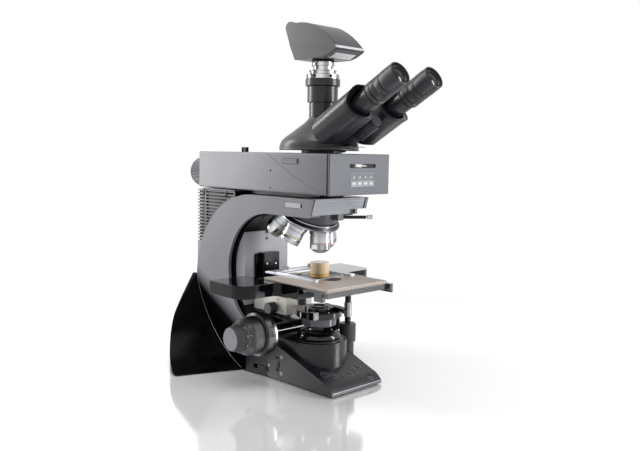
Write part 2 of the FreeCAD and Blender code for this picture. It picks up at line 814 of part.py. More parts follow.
def rear_wing():
    """Swept front face from the trim arc, bell outline from the front, curved edge from above."""
    tip_x = WING_BELL[-1][0]
    reach = tip_x + 20
    gap = JOIN
    face = Part.Face(wire("yz", -PANEL_IN, (BACK_Y + gap, FOOT_H), [
        (BACK_Y + 60, FOOT_H),
        (BACK_Y + 60, TRIM_TOP_Z + 3),
        (BACK_Y + gap, TRIM_TOP_Z + 3),
        (BACK_Y + gap, TRIM_TOP_Z),
        (trim_middle(gap), (TRIM_FOOT_Y + gap, FOOT_H)),
    ]))
    swept = face.extrude(V(-reach, WING_SWEEP * reach, 0))
    top_x, top_z = WING_BELL[0]
    bell = prism("xz", 0, 400, (-PANEL_IN, FOOT_H), [
        (-PANEL_IN, top_z),
        (-top_x, top_z),
        [(-x, z) for x, z in WING_BELL[1:]],
    ])
    side_x, side_y = WING_PLAN[0]
    plan = prism("xy", 0, 200, (-PANEL_IN, TRIM_FOOT_Y - 20), [
        (-side_x, TRIM_FOOT_Y - 20),
        (-side_x, side_y),
        [(-x, y) for x, y in WING_PLAN[1:]],
    ])
    return swept.common(bell).common(plan)


def rear_wings():
    wing = rear_wing()
    return [wing, mirror_x(wing)]


def heat_sink():
    outline = arc_point(OUTER_ARC_Y, OUTER_ARC_Z, OUTER_ARC_R + JOIN, 45)
    arc_r = OUTER_ARC_R + JOIN
    front_z = OUTER_ARC_Z + math.sqrt(arc_r ** 2 - (SINK_FRONT_Y - OUTER_ARC_Y) ** 2)
    low_y = BACK_Y - 1.5
    low_z = OUTER_ARC_Z + math.sqrt(arc_r ** 2 - (low_y - OUTER_ARC_Y) ** 2)
    block = prism("yz", -SINK_HALF, SINK_HALF, (SINK_FRONT_Y, front_z), [
        (outline, (low_y, low_z)),
        (BACK_Y, low_z),
        (BACK_Y, SINK_TOP_Z),
        (SINK_FRONT_Y, SINK_TOP_Z),
    ])
    web = rod(V(-SINK_HALF - 2, OUTER_ARC_Y, OUTER_ARC_Z), X_AXIS, arc_r + SINK_WEB, 2 * SINK_HALF + 4)
    slots = []
    for i in range(FIN_COUNT):
        z = SINK_TOP_Z - FIN_T - FIN_PITCH * i
        slot = box(-SINK_HALF - 1, SINK_HALF + 1, SINK_FRONT_Y + 4, BACK_Y + 1, z - FIN_PITCH + FIN_T, z)
        core_half = SINK_HALF - SINK_SIDE_DEPTH
        bar = box(-core_half, core_half, SINK_FRONT_Y, BACK_Y - FIN_DEPTH, 0, 400)
        post = box(-SINK_HALF - 2, SINK_HALF + 2, SINK_BAR_Y - 2, SINK_BAR_Y + 2, 0, 400)
        slots += cut(slot, web, bar, post).Solids
    return cut(block, *slots)


def column_front_plate():
    """Front plate that closes the throat, with the guide way of the stage carrier."""
    inner = THROAT_R - 1.5 - JOIN
    rise = math.sqrt(inner ** 2 - (FRONT_PLATE_Y - THROAT_Y) ** 2)
    plate = prism("yz", -FRONT_PLATE_HALF, FRONT_PLATE_HALF, (FRONT_PLATE_Y, THROAT_Z + rise), [
        ((THROAT_Y + inner, THROAT_Z), (FRONT_PLATE_Y, THROAT_Z - rise)),
    ])
    way = box(-GUIDE_HALF, GUIDE_HALF, FRONT_PLATE_Y - 1, FRONT_PLATE_Y + GUIDE_DEPTH,
              guide_floor_z(), guide_top_z())
    keeper = []
    for side in (-1, 1):
        x0 = side * GUIDE_HALF
        x1 = side * (GUIDE_HALF - 6)
        keeper.append(box(min(x0, x1), max(x0, x1), FRONT_PLATE_Y, FRONT_PLATE_Y + KEEPER_T,
                          GUIDE_BOTTOM_Z, guide_top_z()))
    hole = rod(V(0, FRONT_PLATE_Y - 1, 0.5 * (guide_top_z() + THROAT_Z + rise) + 6), Y_AXIS, 2.6, 8)
    return fuse(cut(plate, way, hole), *[k.common(plate) for k in keeper])


# Nosepiece

def turret_axis():
    tilt = math.radians(TURRET_TILT)
    return V(0, TURRET_APEX_Y, TURRET_SEAT_Z), V(0, -math.sin(tilt), math.cos(tilt))


def nosepiece_holder():
    """Front end of the arm with the fixed cone that carries the turret."""
    back = ARM_FRONT_Y - SLIDE
    raked = ARM_NOSE_Y + ARM_NOSE_RAKE
    low = ARM_BOTTOM_Z + 3
    notch_top = ARM_BOTTOM_Z + NOTCH_H
    block = prism("yz", -NOSE_HALF, NOSE_HALF, (back, low), [
        (back, ARM_TOP_Z),
        (ARM_NOSE_Y, ARM_TOP_Z),
        (raked, low),
    ])
    notch = box(NOTCH_X, NOSE_HALF + 1, ARM_NOSE_Y - 1, back + 1, low - 1, notch_top)
    slot = box(-NOSE_HALF - 1, -FRAME_HALF + SLIDER_BODY, ARM_SLOT_Y0 - SLIDE, ARM_SLOT_Y1 + SLIDE,
               ARM_SLOT_Z0 - SLIDE, ARM_SLOT_Z1 + SLIDE)
    block = cut(block, notch)
    apex, axis = turret_axis()
    cone = turned(apex, axis, [
        (0, TURRET_TOP_D + JOIN),
        (HOLDER_CONE_R - 1.5, TURRET_TOP_D + JOIN),
        (HOLDER_CONE_R, TURRET_TOP_D + 3),
        (HOLDER_CONE_R, TURRET_TOP_D + 50),
        (0, TURRET_TOP_D + 50),
    ])
    keep = box(-80, 80, -60, 120, 200, ARM_BOTTOM_Z + 16)
    cone = cone.common(keep)
    body = fuse(block, cone)
    light = rod(V(0, 0, 200), Z_AXIS, 12, 120)
    pivot = rod(apex + axis * (TURRET_TOP_D - 5), axis, 6 + RUN, 20)
    rail = slider_bar(SLIDER_ROD_R + RUN, SLIDER_ROD_LEN)
    bracket = box(SLIDER_BRACKET_X0, SLIDER_BRACKET_X1, -34, back, SLIDER_ROD_Z - 4.5, ARM_BOTTOM_Z + 4)
    body = fuse(body, bracket)
    return cut(body, light, pivot, rail, slot)


def slider_direction():
    angle = math.radians(SLIDER_ROD_DEG)
    return V(math.cos(angle), math.sin(angle), 0)


def slider_bar(radius, length):
    start = V(SLIDER_ROD_X, SLIDER_ROD_Y, SLIDER_ROD_Z) - slider_direction() * 8
    return rod(start, slider_direction(), radius, length)


def nose_slider():
    bar = slider_bar(SLIDER_ROD_R, SLIDER_ROD_LEN)
    end = V(SLIDER_ROD_X, SLIDER_ROD_Y, SLIDER_ROD_Z) + slider_direction() * (SLIDER_ROD_LEN - 8)
    knob = turned(end, slider_direction(), [
        (0, 0), (1.8, 0), (1.8, 1.5), (SLIDER_KNOB_R, 2), (SLIDER_KNOB_R, 5), (SLIDER_KNOB_R - 1, 5.5),
        (SLIDER_KNOB_R - 1, 6.5), (SLIDER_KNOB_R, 7), (SLIDER_KNOB_R, SLIDER_KNOB_LEN), (0, SLIDER_KNOB_LEN),
    ])
    return fuse(bar, knob)


def turret():
    """Rotating part: dished cone with a knurled rim, five seats and a pivot pin."""
    apex, axis = turret_axis()
    body = turned(apex, axis, [
        (0, 6), (14, 6), (TURRET_RIM_R - 0.3, TURRET_RIM_D), (TURRET_RIM_R, TURRET_RIM_D + 0.6),
        (TURRET_RIM_R, TURRET_RIM_D + 2.2), (TURRET_TOP_R + 0.6, TURRET_TOP_D - 1.6),
        (TURRET_TOP_R, TURRET_TOP_D), (0, TURRET_TOP_D),
    ])
    pin = rod(apex + axis * (TURRET_TOP_D - 1), axis, 6, 14)
    top = rod(apex + axis * (TURRET_TOP_D - 60), axis, TURRET_RIM_R + 20, 60)
    solid = body
    for i in range(TURRET_COUNT):
        seat = rod(V(0, 0, SHOULDER_Z), Z_AXIS, SEAT_R, 24)
        seat.rotate(apex, axis, 360 / TURRET_COUNT * i)
        solid = solid.fuse(seat.common(top))
    solid = fuse(solid, pin)
    for i in range(TURRET_COUNT):
        bore = rod(V(0, 0, SHOULDER_Z - 1), Z_AXIS, THREAD_R + RUN, THREAD_H + 1.5)
        light = rod(V(0, 0, SHOULDER_Z - 1), Z_AXIS, 9, 40)
        for tool in (bore, light):
            tool.rotate(apex, axis, 360 / TURRET_COUNT * i)
        solid = solid.cut(bore).cut(light)
    return solid


OBJECTIVES = {
    "objective_red": [(16.2, 0), (16.2, 1.5), (15.6, 2), (15.6, 3), (16.2, 3.5), (16.2, 14.2), (15.9, 14.4),
                      (15.9, 15.2), (16.2, 15.4), (16.2, 23.7), (10.5, 28.1)],
    "objective_yellow": [(16.2, 0), (16.2, 4), (15.4, 4.6), (15.4, 5.4), (16.2, 6), (16.2, 14.6),
                         (15.9, 14.8), (15.9, 15.6), (16.2, 15.8), (15.8, 24.5), (14.6, 25.6)],
    "objective_green": [(16.2, 0), (16.2, 12.6), (15.9, 12.8), (15.9, 13.6), (16.2, 13.8), (16.2, 30),
                        (14.6, 31), (14.2, 36), (11.5, 38.5)],
    "objective_blue": [(16.2, 0), (16.2, 14.6), (15.9, 14.8), (15.9, 15.6), (16.2, 15.8), (16.2, 29),
                       (12.5, 35), (9, 39.5)],
    "objective_white": [(16.2, 0), (16.2, 13.4), (15.9, 13.6), (15.9, 14.4), (16.2, 14.6), (16.2, 21),
                        (15.2, 23.5)],
}
OBJECTIVE_ORDER = [
    "objective_red", "objective_blue", "objective_white", "objective_green", "objective_yellow",
]


def objective(name):
    """Barrel below its shoulder and thread above, turned to its place on the turret."""
    profile = OBJECTIVES[name]
    points = [(THREAD_R, THREAD_H), (THREAD_R, 0)]
    points += [(r, -d) for r, d in profile]
    end_r, end_d = profile[-1]
    points += [(end_r - 3, -end_d), (end_r - 3.5, -end_d + 1.5), (0, -end_d + 1.5), (0, THREAD_H)]
    solid = turned(V(0, 0, SHOULDER_Z), Z_AXIS, points)
    apex, axis = turret_axis()
    solid.rotate(apex, axis, 360 / TURRET_COUNT * OBJECTIVE_ORDER.index(name))
    return solid


# Illuminator box

def box_shell(y0, y1):
    outer = box(-BOX_HALF, BOX_HALF, y0, y1, BOX_Z0, BOX_Z1)
    outer = round_edges(outer, 2.5, lambda e: e.BoundBox.XLength < 0.1 and e.BoundBox.ZLength < 0.1)
    half = BOX_HALF - BOX_WALL
    inner = box(-half, half, y0 - 1, y1 + 1, BOX_Z0 + BOX_WALL, BOX_Z1 - BOX_WALL)
    return cut(outer, inner)


def seam_block(shift):
    """Everything behind the curved seam, moved by a small shift along Y."""
    return prism("yz", -90, 90, (SEAM_TOP_Y + shift, BOX_Z1 + 1), [
        ((SEAM_MID_Y + shift, SEAM_MID_Z), (SEAM_FOOT_Y + shift, BOX_Z0 - 1)),
        (BOX_BACK_Y + 20, BOX_Z0 - 1),
        (BOX_BACK_Y + 20, BOX_Z1 + 1),
    ])


def box_slot():
    return box(-BOX_HALF - 1, -BOX_HALF + SLIDER_BODY, BOX_SLOT_Y0 - SLIDE, BOX_SLOT_Y1 + SLIDE,
               BOX_SLOT_Z0 - SLIDE, BOX_SLOT_Z1 + SLIDE)


def illuminator_rear_cover():
    shell = box_shell(BOX_FRONT_Y + PANEL_T + 1, BOX_BACK_Y).common(seam_block(0.5 * BOX_SEAM))
    back = box(-BOX_HALF + 1, BOX_HALF - 1, BOX_BACK_Y - BOX_WALL, BOX_BACK_Y, BOX_Z0 + 1, BOX_Z1 - 1)
    snout = rod(V(0, BOX_BACK_Y - 20, LAMP_Z), Y_AXIS, SNOUT_R + JOIN, 40)
    pedestal = box(-PEDESTAL_HALF, PEDESTAL_HALF, ARM_FRONT_Y + 10, 120, ARM_TOP_Z + JOIN, BOX_Z0 + 0.5)
    light = rod(V(0, 0, BOX_Z0 - 20), Z_AXIS, 16, 100)
    saddles = []
    for y in (SNOUT_END_Y + 20, BOX_BACK_Y - 50):
        saddles.append(box(-12, 12, y - 4, y + 4, BOX_Z0 + 1, LAMP_Z - SNOUT_R + 3))
    posts = []
    for i in range(2):
        y = TOP_POST_Y + i * TOP_POST_PITCH
        posts.append(rod(V(TOP_POST_X, y, BOX_Z1 - 1), Z_AXIS, TOP_POST_R, TOP_POST_H + 1))
    holes = [rod(V(-BOX_HALF - 1, 46, z), X_AXIS, 1.6, 8) for z in (303.7, 329.6)]
    body = fuse(shell, back, pedestal, *saddles, *posts)
    tube = rod(V(0, SNOUT_END_Y - 4, LAMP_Z), Y_AXIS, SNOUT_R + JOIN, BOX_BACK_Y)
    seat = box_ring_seat(JOIN)
    return cut(body, snout, light, tube, seat, box_slot(), *holes)


def box_ring_seat(gap):
    """Round seat of the tube ring in the top of the box."""
    return rod(V(0, 0, BOX_Z1 - BOX_WALL - 1), Z_AXIS, HEAD_RING_R - 6 + gap, 20)


def illuminator_front_cover():
    front = BOX_FRONT_Y + PANEL_T + 0.8
    shell = cut(box_shell(front, BOX_BACK_Y), seam_block(-0.5 * BOX_SEAM))
    light = rod(V(0, 0, BOX_Z0 - 20), Z_AXIS, 16, 60)
    slot = box_slot()
    rails = []
    for z in (BOX_SLOT_Z0 - SLIDE - 1.5, BOX_SLOT_Z1 + SLIDE):
        high = min(z + 1.5, BOX_Z1 - BOX_WALL + 0.5)
        rails.append(box(-BOX_HALF + 1, -BOX_HALF + SLIDER_BODY - 6, -12, 12, z, high))
    web = box(-BOX_HALF + 1, -BOX_HALF + SLIDER_BODY - 6, -4, 4, BOX_SLOT_Z1 + 1, BOX_Z1 - 1)
    body = fuse(shell, web, *rails)
    bodies = cut(body, light, slot, box_ring_seat(JOIN))
    return max(bodies.Solids, key=lambda s: s.Volume)


def illuminator_front_panel():
    panel = box(-BOX_HALF, BOX_HALF, BOX_FRONT_Y, BOX_FRONT_Y + PANEL_T, BOX_Z0, BOX_Z1)
    panel = round_edges(panel, 1.2, lambda e: abs(e.BoundBox.YMax - BOX_FRONT_Y) < 0.01)
    window = box(WINDOW_X0, WINDOW_X1, BOX_FRONT_Y - 1, BOX_FRONT_Y + 3, WINDOW_Z0, WINDOW_Z1)
    back = BOX_FRONT_Y + PANEL_T
    half_in = BOX_HALF - BOX_WALL - 3
    low_in = BOX_Z0 + BOX_WALL + 3
    high_in = BOX_Z1 - BOX_WALL - 3
    half_out = BOX_HALF - BOX_WALL - JOIN
    inner = box(-half_in, half_in, BOX_FRONT_Y + 3.5, back + 1, low_in, high_in)
    frame_out = box(-half_out, half_out, back - 0.5, back + 6,
                    BOX_Z0 + BOX_WALL + JOIN, BOX_Z1 - BOX_WALL - JOIN)
    frame_in = box(-half_in, half_in, BOX_FRONT_Y, back + 8, low_in, high_in)
    return fuse(cut(panel, window, inner), cut(frame_out, frame_in))


def lamp_housing():
    """Round lamp housing on the back, with the light tube that runs into the box."""
    back = BOX_BACK_Y + JOIN
    drum_end = LAMP_END_Y - LAMP_ROUND
    drum = rod(V(0, back, LAMP_Z), Y_AXIS, LAMP_R, LAMP_END_Y - back)
    drum = round_edges(drum, LAMP_ROUND, lambda e: e.BoundBox.YMin > LAMP_END_Y - 0.01)
    chamber = rod(V(0, back - 1, LAMP_Z), Y_AXIS, LAMP_R - LAMP_WALL, drum_end - back - 6)
    tube = ring(V(0, SNOUT_END_Y, LAMP_Z), Y_AXIS, SNOUT_R, SNOUT_R - 2, back + 6 - SNOUT_END_Y)
    return fuse(cut(drum, chamber), tube, lamp_board(back))


def lamp_board(back):
    """Round board with the lamp, clamped in the drum."""
    return rod(V(0, back + 14, LAMP_Z), Y_AXIS, LAMP_R - LAMP_WALL + 1, 4)


def lens(centre, axis, radius, thickness):
    """Double convex lens with a flat rim."""
    bulge = 0.28 * thickness
    rim = 0.5 * thickness - bulge
    ball_r = (radius ** 2 + bulge ** 2) / (2 * bulge)
    disc = rod(centre - axis * 0.5 * thickness, axis, radius, thickness)
    up = Part.makeSphere(ball_r, centre + axis * (rim + bulge - ball_r))
    down = Part.makeSphere(ball_r, centre - axis * (rim + bulge - ball_r))
    return disc.common(up).common(down)


def lenses():
    """Glass of the light paths: lamp collector and field lens, splitter, prism and field lens."""
    fit = SNOUT_R - 2 - 0.1
    splitter_low = BOX_Z0 + BOX_WALL + JOIN
    glass = [
        lens(V(0, BOX_BACK_Y - 30, LAMP_Z), Y_AXIS, fit, 8),
        lens(V(0, SNOUT_END_Y + 20, LAMP_Z), Y_AXIS, fit, 6),
        box(-18, 18, -18, 18, splitter_low, splitter_low + 36),
        box(-14, 14, -14, 14, head_floor_z() + JOIN, head_floor_z() + 28),
        rod(V(0, 0, TOWER_Z - 4), Z_AXIS, FIELD_LENS_R, FIELD_LENS_T),
    ]
    return glass


# Tube head

def head_floor_z():
    return HEAD_DISC_Z1 - 2


def eye_point(s, n, x=0.0):
    """Point at a distance s behind the eye rim and n below the eyepiece axis."""
    angle = math.radians(EYE_DEG)
    y = EYE_RIM_Y + s * math.cos(angle) - n * math.sin(angle)
    z = EYE_RIM_Z - s * math.sin(angle) - n * math.cos(angle)
    return V(x, y, z)


def eye_direction():
    """Unit vector along the eyepiece axis, towards the user."""
    angle = math.radians(EYE_DEG)
    return V(0, -math.cos(angle), math.sin(angle))


def head_body():
    centre = V(0, HEAD_CENTRE_Y, 0)
    disc = turned(centre, Z_AXIS, [
        (0, HEAD_Z0), (HEAD_DISC_R - 1.2, HEAD_Z0), (HEAD_DISC_R, HEAD_Z0 + 1), (HEAD_DISC_R, HEAD_Z0 + 3),
        (HEAD_DISC_R - 1, HEAD_Z0 + 3.4), (HEAD_DISC_R - 1, HEAD_Z0 + 4), (HEAD_DISC_R, HEAD_Z0 + 4.4),
        (HEAD_DISC_R, HEAD_DISC_Z1), (0, HEAD_DISC_Z1),
    ])
    rings = []
    for radius, height in HEAD_DOME:
        y = HEAD_CENTRE_Y * (1 - height / HEAD_H)
        rings.append(Part.Wire([Part.makeCircle(radius, V(0, y, HEAD_DISC_Z1 - 0.5 + height))]))
    dome = Part.makeLoft(rings, True)
    plate_z = HEAD_DISC_Z1 - 1
    high = eye_point(POD_BACK_S - 20, -POD_ABOVE)
    bridge = prism("yz", -22, 22, (-2, plate_z), [
        (eye_point(POD_BACK_S - 20, 16).y, plate_z),
        (high.y, high.z),
        (-12, HEAD_TOP_Z - 2),
        (-2, HEAD_TOP_Z - 12),
    ])
    body = disc.fuse([dome, bridge])
    away = box(-120, 120, -80, 80, 0, 120)
    along_eye = FreeCAD.Rotation(Z_AXIS, eye_direction())
    away.Placement = FreeCAD.Placement(eye_point(POD_BACK_S + SLIDE, 0), along_eye)
    away = away.common(box(-200, 200, -400, 60, HEAD_DISC_Z1, 600))
    body = cut(body, away)
    hub = rod(eye_point(POD_BACK_S + 12, HUB_N), eye_direction(), HUB_R, POD_BACK_S + 12 - HUB_FRONT_S)
    flange = ring(V(0, 0, BOX_Z1 + JOIN), Z_AXIS, HEAD_RING_R, 14, HEAD_Z0 - BOX_Z1)
    spigot = ring(V(0, 0, BOX_Z1 - BOX_WALL), Z_AXIS, HEAD_RING_R - 6, 14, BOX_WALL + 4)
    light = rod(V(0, 0, BOX_Z1 - 10), Z_AXIS, 14, 20)
    room = box(-15, 15, -15, 15, head_floor_z(), head_floor_z() + 29)
    shaft = rod(V(0, 0, head_floor_z() + 20), Z_AXIS, 12, 80)
    above = box(-120, 120, -120, 120, HEAD_TOP_Z, 500)
    body = cut(body, above).fuse([hub, flange, spigot])
    return cut(body, light, room, shaft)


def photo_tube():
    low = HEAD_TOP_Z + JOIN
    socket_r = MOUNT_SPIGOT_R + JOIN
    socket_z = COLLAR_Z1 - MOUNT_SPIGOT_H - 4
    return turned(V(0, 0, 0), Z_AXIS, [
        (13, low), (TUBE_LOW_R, low), (TUBE_LOW_R, TUBE_STEP_Z), (TUBE_UP_R, TUBE_STEP_Z + 1.5),
        (TUBE_UP_R, COLLAR_Z0), (COLLAR_R, COLLAR_Z0 + 0.8), (COLLAR_R, COLLAR_Z1 - 0.6),
        (COLLAR_R - 0.6, COLLAR_Z1), (socket_r, COLLAR_Z1), (socket_r, socket_z), (13, socket_z),
    ])


def camera_mount():
    """Chrome adapter from the tube collar to the thread of the camera."""
    low = COLLAR_Z1 + JOIN
    foot = low - MOUNT_SPIGOT_H
    return turned(V(0, 0, 0), Z_AXIS, [
        (11, foot), (MOUNT_SPIGOT_R, foot), (MOUNT_SPIGOT_R, low), (MOUNT_RING_R, low),
        (MOUNT_RING_R, MOUNT_RING_Z - 0.6), (MOUNT_RING_R - 0.6, MOUNT_RING_Z),
        (MOUNT_NECK_R, MOUNT_RING_Z), (MOUNT_NECK_R, MOUNT_NECK_Z), (MOUNT_TOP_R, MOUNT_NECK_Z),
        (MOUNT_TOP_R, MOUNT_TOP_Z), (11, MOUNT_TOP_Z),
    ])


def camera_side(scale, x0, x1):
    """Side outline of the camera over its seat, drawn in about its middle, between two levels of X."""
    mid_y = 0.5 * (CAM_TOP[0][0] + CAM_NOSE[0][0])
    mid_z = 0.5 * CAM_TOP[0][1]

    def at(points):
        return [(mid_y + (y - mid_y) * scale, CAMERA_SEAT_Z + mid_z + (z - mid_z) * scale) for y, z in points]

    top, nose, under, back = at(CAM_TOP), at(CAM_NOSE), at(CAM_UNDER), at(CAM_BACK)
    steps = [top[1:], (nose[0], nose[1]), under, back[0], back[1], back[2], (back[3], top[0])]
    return prism("yz", x0, x1, top[0], steps)


def camera_body():
    """Smooth housing with a seam inside each side plate, over a round seat."""
    body = camera_side(1, -CAM_HALF, CAM_HALF)
    seat_low = MOUNT_TOP_Z + JOIN
    seat_high = CAMERA_SEAT_Z + 3
    seat = turned(V(0, 0, 0), Z_AXIS, [
        (0, seat_low), (CAMERA_SEAT_R, seat_low), (CAMERA_SEAT_R, seat_high), (0, seat_high),
    ])
    seams = []
    for x in (-CAM_HALF + CAM_PLATE_T, CAM_HALF - CAM_PLATE_T - CAM_GROOVE):
        outer = camera_side(1.1, x, x + CAM_GROOVE)
        seams.append(outer.cut(camera_side(0.965, x - 1, x + CAM_GROOVE + 1)))
    return fuse(cut(body, *seams), seat)


def pod(knuckle_s):
    """Left binocular pod: a rounded hood that swings about the hub, with its eye tube.

    It is built upright in its own frame: X across, Y below the eyepiece axis, Z behind the eye rim.
    """
    back, above, below, r = POD_BACK_S, POD_ABOVE, POD_BELOW, POD_ROUND
    hood = [(n, s) for n, s in POD_RIM]
    side = prism("yz", -POD_OUT - 1, -POD_IN + 1, hood[-1], [
        (below + 1, back - 11),
        ((15.0, back - 4.5), (8, back)),
        (-3, back),
        ((-15.5, back - 5.5), (-above, back - 20)),
        (-above, back - 55),
        (POD_HOOD_N, POD_HOOD_S),
        hood,
    ])
    k = r * (1 - math.sqrt(0.5))
    x0, x1 = -POD_OUT, -POD_IN
    section = prism("xy", POD_HOOD_S - 10, back + 10, (x0 + r, -above), [
        (x1 - r, -above),
        ((x1 - k, -above + k), (x1, -above + r)),
        (x1, below - r),
        ((x1 - k, below - k), (x1 - r, below)),
        (x0 + r, below),
        ((x0 + k, below - k), (x0, below - r)),
        (x0, -above + r),
        ((x0 + k, -above + k), (x0 + r, -above)),
    ])
    tube = rod(V(-EYE_X, 0, EYE_RING_S + JOIN), Z_AXIS, EYE_TUBE_R, EYE_TUBE_S - EYE_RING_S - JOIN)
    recess = rod(V(-EYE_X, 0, POD_HOOD_S - 20), Z_AXIS, POD_RECESS_R, POD_RECESS_S - POD_HOOD_S + 20)
    bore = rod(V(-EYE_X, 0, 0), Z_AXIS, EYE_SLEEVE_R + RUN, EYE_SLEEVE_S + 8)
    low = knuckle_s
    knuckle = rod(V(0, HUB_N, low), Z_AXIS, KNUCKLE_R, KNUCKLE_LEN)
    web = box(x0 + 2 * r, -HUB_R, HUB_N - 8, HUB_N + 2, low, low + KNUCKLE_LEN)
    hub_room = rod(V(0, HUB_N, 0), Z_AXIS, HUB_R + RUN, back + 20)
    body = fuse(cut(side.common(section), recess), tube, knuckle, web)
    body = cut(body, bore, hub_room)
    body.Placement = FreeCAD.Placement(eye_point(0, 0), FreeCAD.Rotation(X_AXIS, -90 - EYE_DEG))
    return body


def eyepiece_profile():
    """Radius and distance behind the rim, from the rubber cup to the end of the sleeve."""
    cup, body = EYE_CUP_R, EYE_BODY_R
    return [
        (cup - 1.4, 0), (cup - 0.4, 0.4), (cup, 1.6), (cup + 0.2, EYE_CUP_S - 0.8), (body - 0.8, EYE_CUP_S),
        (body, EYE_CUP_S + 1), (body, EYE_BODY_S - 1), (body - 0.9, EYE_BODY_S), (body + 0.5, EYE_BODY_S + 1),
        (body + 0.5, EYE_RING_S - 2), (body - 0.6, EYE_RING_S), (EYE_SLEEVE_R, EYE_RING_S),
        (EYE_SLEEVE_R, EYE_SLEEVE_S), (0, EYE_SLEEVE_S), (0, 9), (EYE_LENS_R, 9), (cup - 2.6, 4),
    ]


def eyepiece():
    """Left eyepiece: rubber cup, body and a sleeve that drops into the eye tube."""
    return turned(eye_point(0, 0, -EYE_X), -eye_direction(), eyepiece_profile())


# Stage

def stage_carrier():
    """Guide carriage, front block and the arm that carries the stage."""
    gap = SLIDE
    way_y = FRONT_PLATE_Y + KEEPER_T + gap
    half = GUIDE_HALF - gap
    carriage = box(-half, half, way_y, way_y + CARRIAGE_T, CARRIAGE_LOW_Z, CARRIAGE_TOP_Z)
    neck = box(-BLOCK_HALF, BLOCK_HALF, FRONT_PLATE_Y - 2, way_y + 1, CARRIAGE_LOW_Z, CARRIAGE_TOP_Z)
    front = box(-BLOCK_HALF, BLOCK_HALF, BLOCK_FRONT_Y, FRONT_PLATE_Y - 1, CARRIAGE_LOW_Z + 14, BLOCK_TOP_Z)
    arm_top = STAGE_LOW_Z
    arm = box(-CARRIER_ARM_HALF, CARRIER_ARM_HALF, CARRIER_ARM_Y, BLOCK_FRONT_Y + 4,
              arm_top - CARRIER_ARM_T, arm_top)
    front = round_edges(front, 1.5, lambda e: e.BoundBox.YMax < BLOCK_FRONT_Y + 0.01)
    light_room = rod(V(0, 0, 100), Z_AXIS, COND_RING_R + 4, 60)
    return cut(fuse(carriage, neck, front, arm), light_room)


def stage_outline(x_wing, y0, y1):
    """T-shaped plan of the lower stage plate with rounded wing ends and swept inner bends."""
    r = STAGE_WING_R
    b = STAGE_BEND_R
    c = CHANNEL_X + 2
    k = r * (1 - math.sqrt(0.5))
    q = b * (1 - math.sqrt(0.5))
    low = STAGE_FLOOR_Y0
    start = (-x_wing, y1)
    steps = [
        (-x_wing, y0 + r),
        ((-x_wing + k, y0 + k), (-x_wing + r, y0)),
        (-c - b, y0),
        ((-c - q, y0 - q), (-c, y0 - b)),
        (-c, low),
        (c, low),
        (c, y0 - b),
        ((c + q, y0 - q), (c + b, y0)),
        (x_wing - r, y0),
        ((x_wing - k, y0 + k), (x_wing, y0 + r)),
        (x_wing, y1),
    ]
    return start, steps


def stage_lower_plate():
    start, steps = stage_outline(STAGE_WING_X, STAGE_WING_Y0, STAGE_WING_Y1)
    plate = prism("xy", STAGE_LOW_Z, WING_Z, start, steps)
    floor = STAGE_LOW_Z + STAGE_FLOOR_T
    channel = box(-CHANNEL_X, CHANNEL_X, STAGE_FLOOR_Y0 - 60, STAGE_WING_Y1 + 60, floor, WING_Z + 1)
    light = rod(V(0, 0, STAGE_LOW_Z - 1), Z_AXIS, LIGHT_HOLE_R, 40)
    post = post_bore(POST_CORE_R)
    pot = rod(V(GEAR_POT_X, GEAR_POT_Y, STAGE_LOW_Z - GEAR_POT_H), Z_AXIS, GEAR_POT_R, GEAR_POT_H + 1)
    return fuse(cut(plate, channel, light, post), pot)


def post_bore(radius):
    return rod(V(POST_X, POST_Y, STAGE_LOW_Z - 20), Z_AXIS, radius, 20 + 12)


def stage_middle_plate():
    """Y carriage: plate in the channel with the front rail, corner block and end bracket."""
    low = STAGE_LOW_Z + STAGE_FLOOR_T + SLIDE
    high = WING_Z - JOIN
    plate = box(MIDDLE_X0, MIDDLE_X1, MIDDLE_Y0, MIDDLE_Y1, MIDDLE_LOW_Z, high)
    rail = box(MIDDLE_X0, MIDDLE_X1, MIDDLE_Y0, MIDDLE_Y0 + RAIL_W, RAIL_LOW_Z, MIDDLE_LOW_Z + 1)
    shelf = box(CORE_X0, MIDDLE_X1, STAGE_FLOOR_Y0 + 5, MIDDLE_Y1, low, MIDDLE_LOW_Z + 1)
    corner = box(MIDDLE_X0, CORNER_X1, CORNER_Y0, CORNER_Y1, CORNER_LOW_Z, MIDDLE_LOW_Z + 1)
    corner = round_edges(corner, 2.0, lambda e: e.BoundBox.ZLength > 5 and e.BoundBox.YMax < CORNER_Y0 + 0.01)
    bracket = box(MIDDLE_X1 - 1, END_BRACKET_X, MIDDLE_Y0 - 6, MIDDLE_Y0 + 26, BRACKET_LOW_Z,
                  STAGE_Z - TOP_LIP_H - SLIDE)
    end_x = END_BRACKET_X - 0.01
    bracket = round_edges(bracket, 3.5, lambda e: e.BoundBox.XMin > end_x and e.BoundBox.ZLength > 5)
    arch = rod(V(MIDDLE_X1 - 8, MIDDLE_Y0 - 7, BRACKET_LOW_Z - 4), Y_AXIS, 11, 40)
    body = fuse(plate, rail, shelf, corner, cut(bracket, arch))
    travel = STAGE_Y_TRAVEL
    window = prism("xy", low - 30, high + 1, (-LIGHT_HOLE_R - 4, -travel), [
        ((0, -travel - LIGHT_HOLE_R - 4), (LIGHT_HOLE_R + 4, -travel)),
        (LIGHT_HOLE_R + 4, travel),
        ((0, travel + LIGHT_HOLE_R + 4), (-LIGHT_HOLE_R - 4, travel)),
    ])
    way = box(MIDDLE_X0 - 1, MIDDLE_X1 + 1, RUNNER_Y - RUNNER_HALF - SLIDE, RUNNER_Y + RUNNER_HALF + SLIDE,
              high - 5, high + 1)
    return cut(body, window, way)


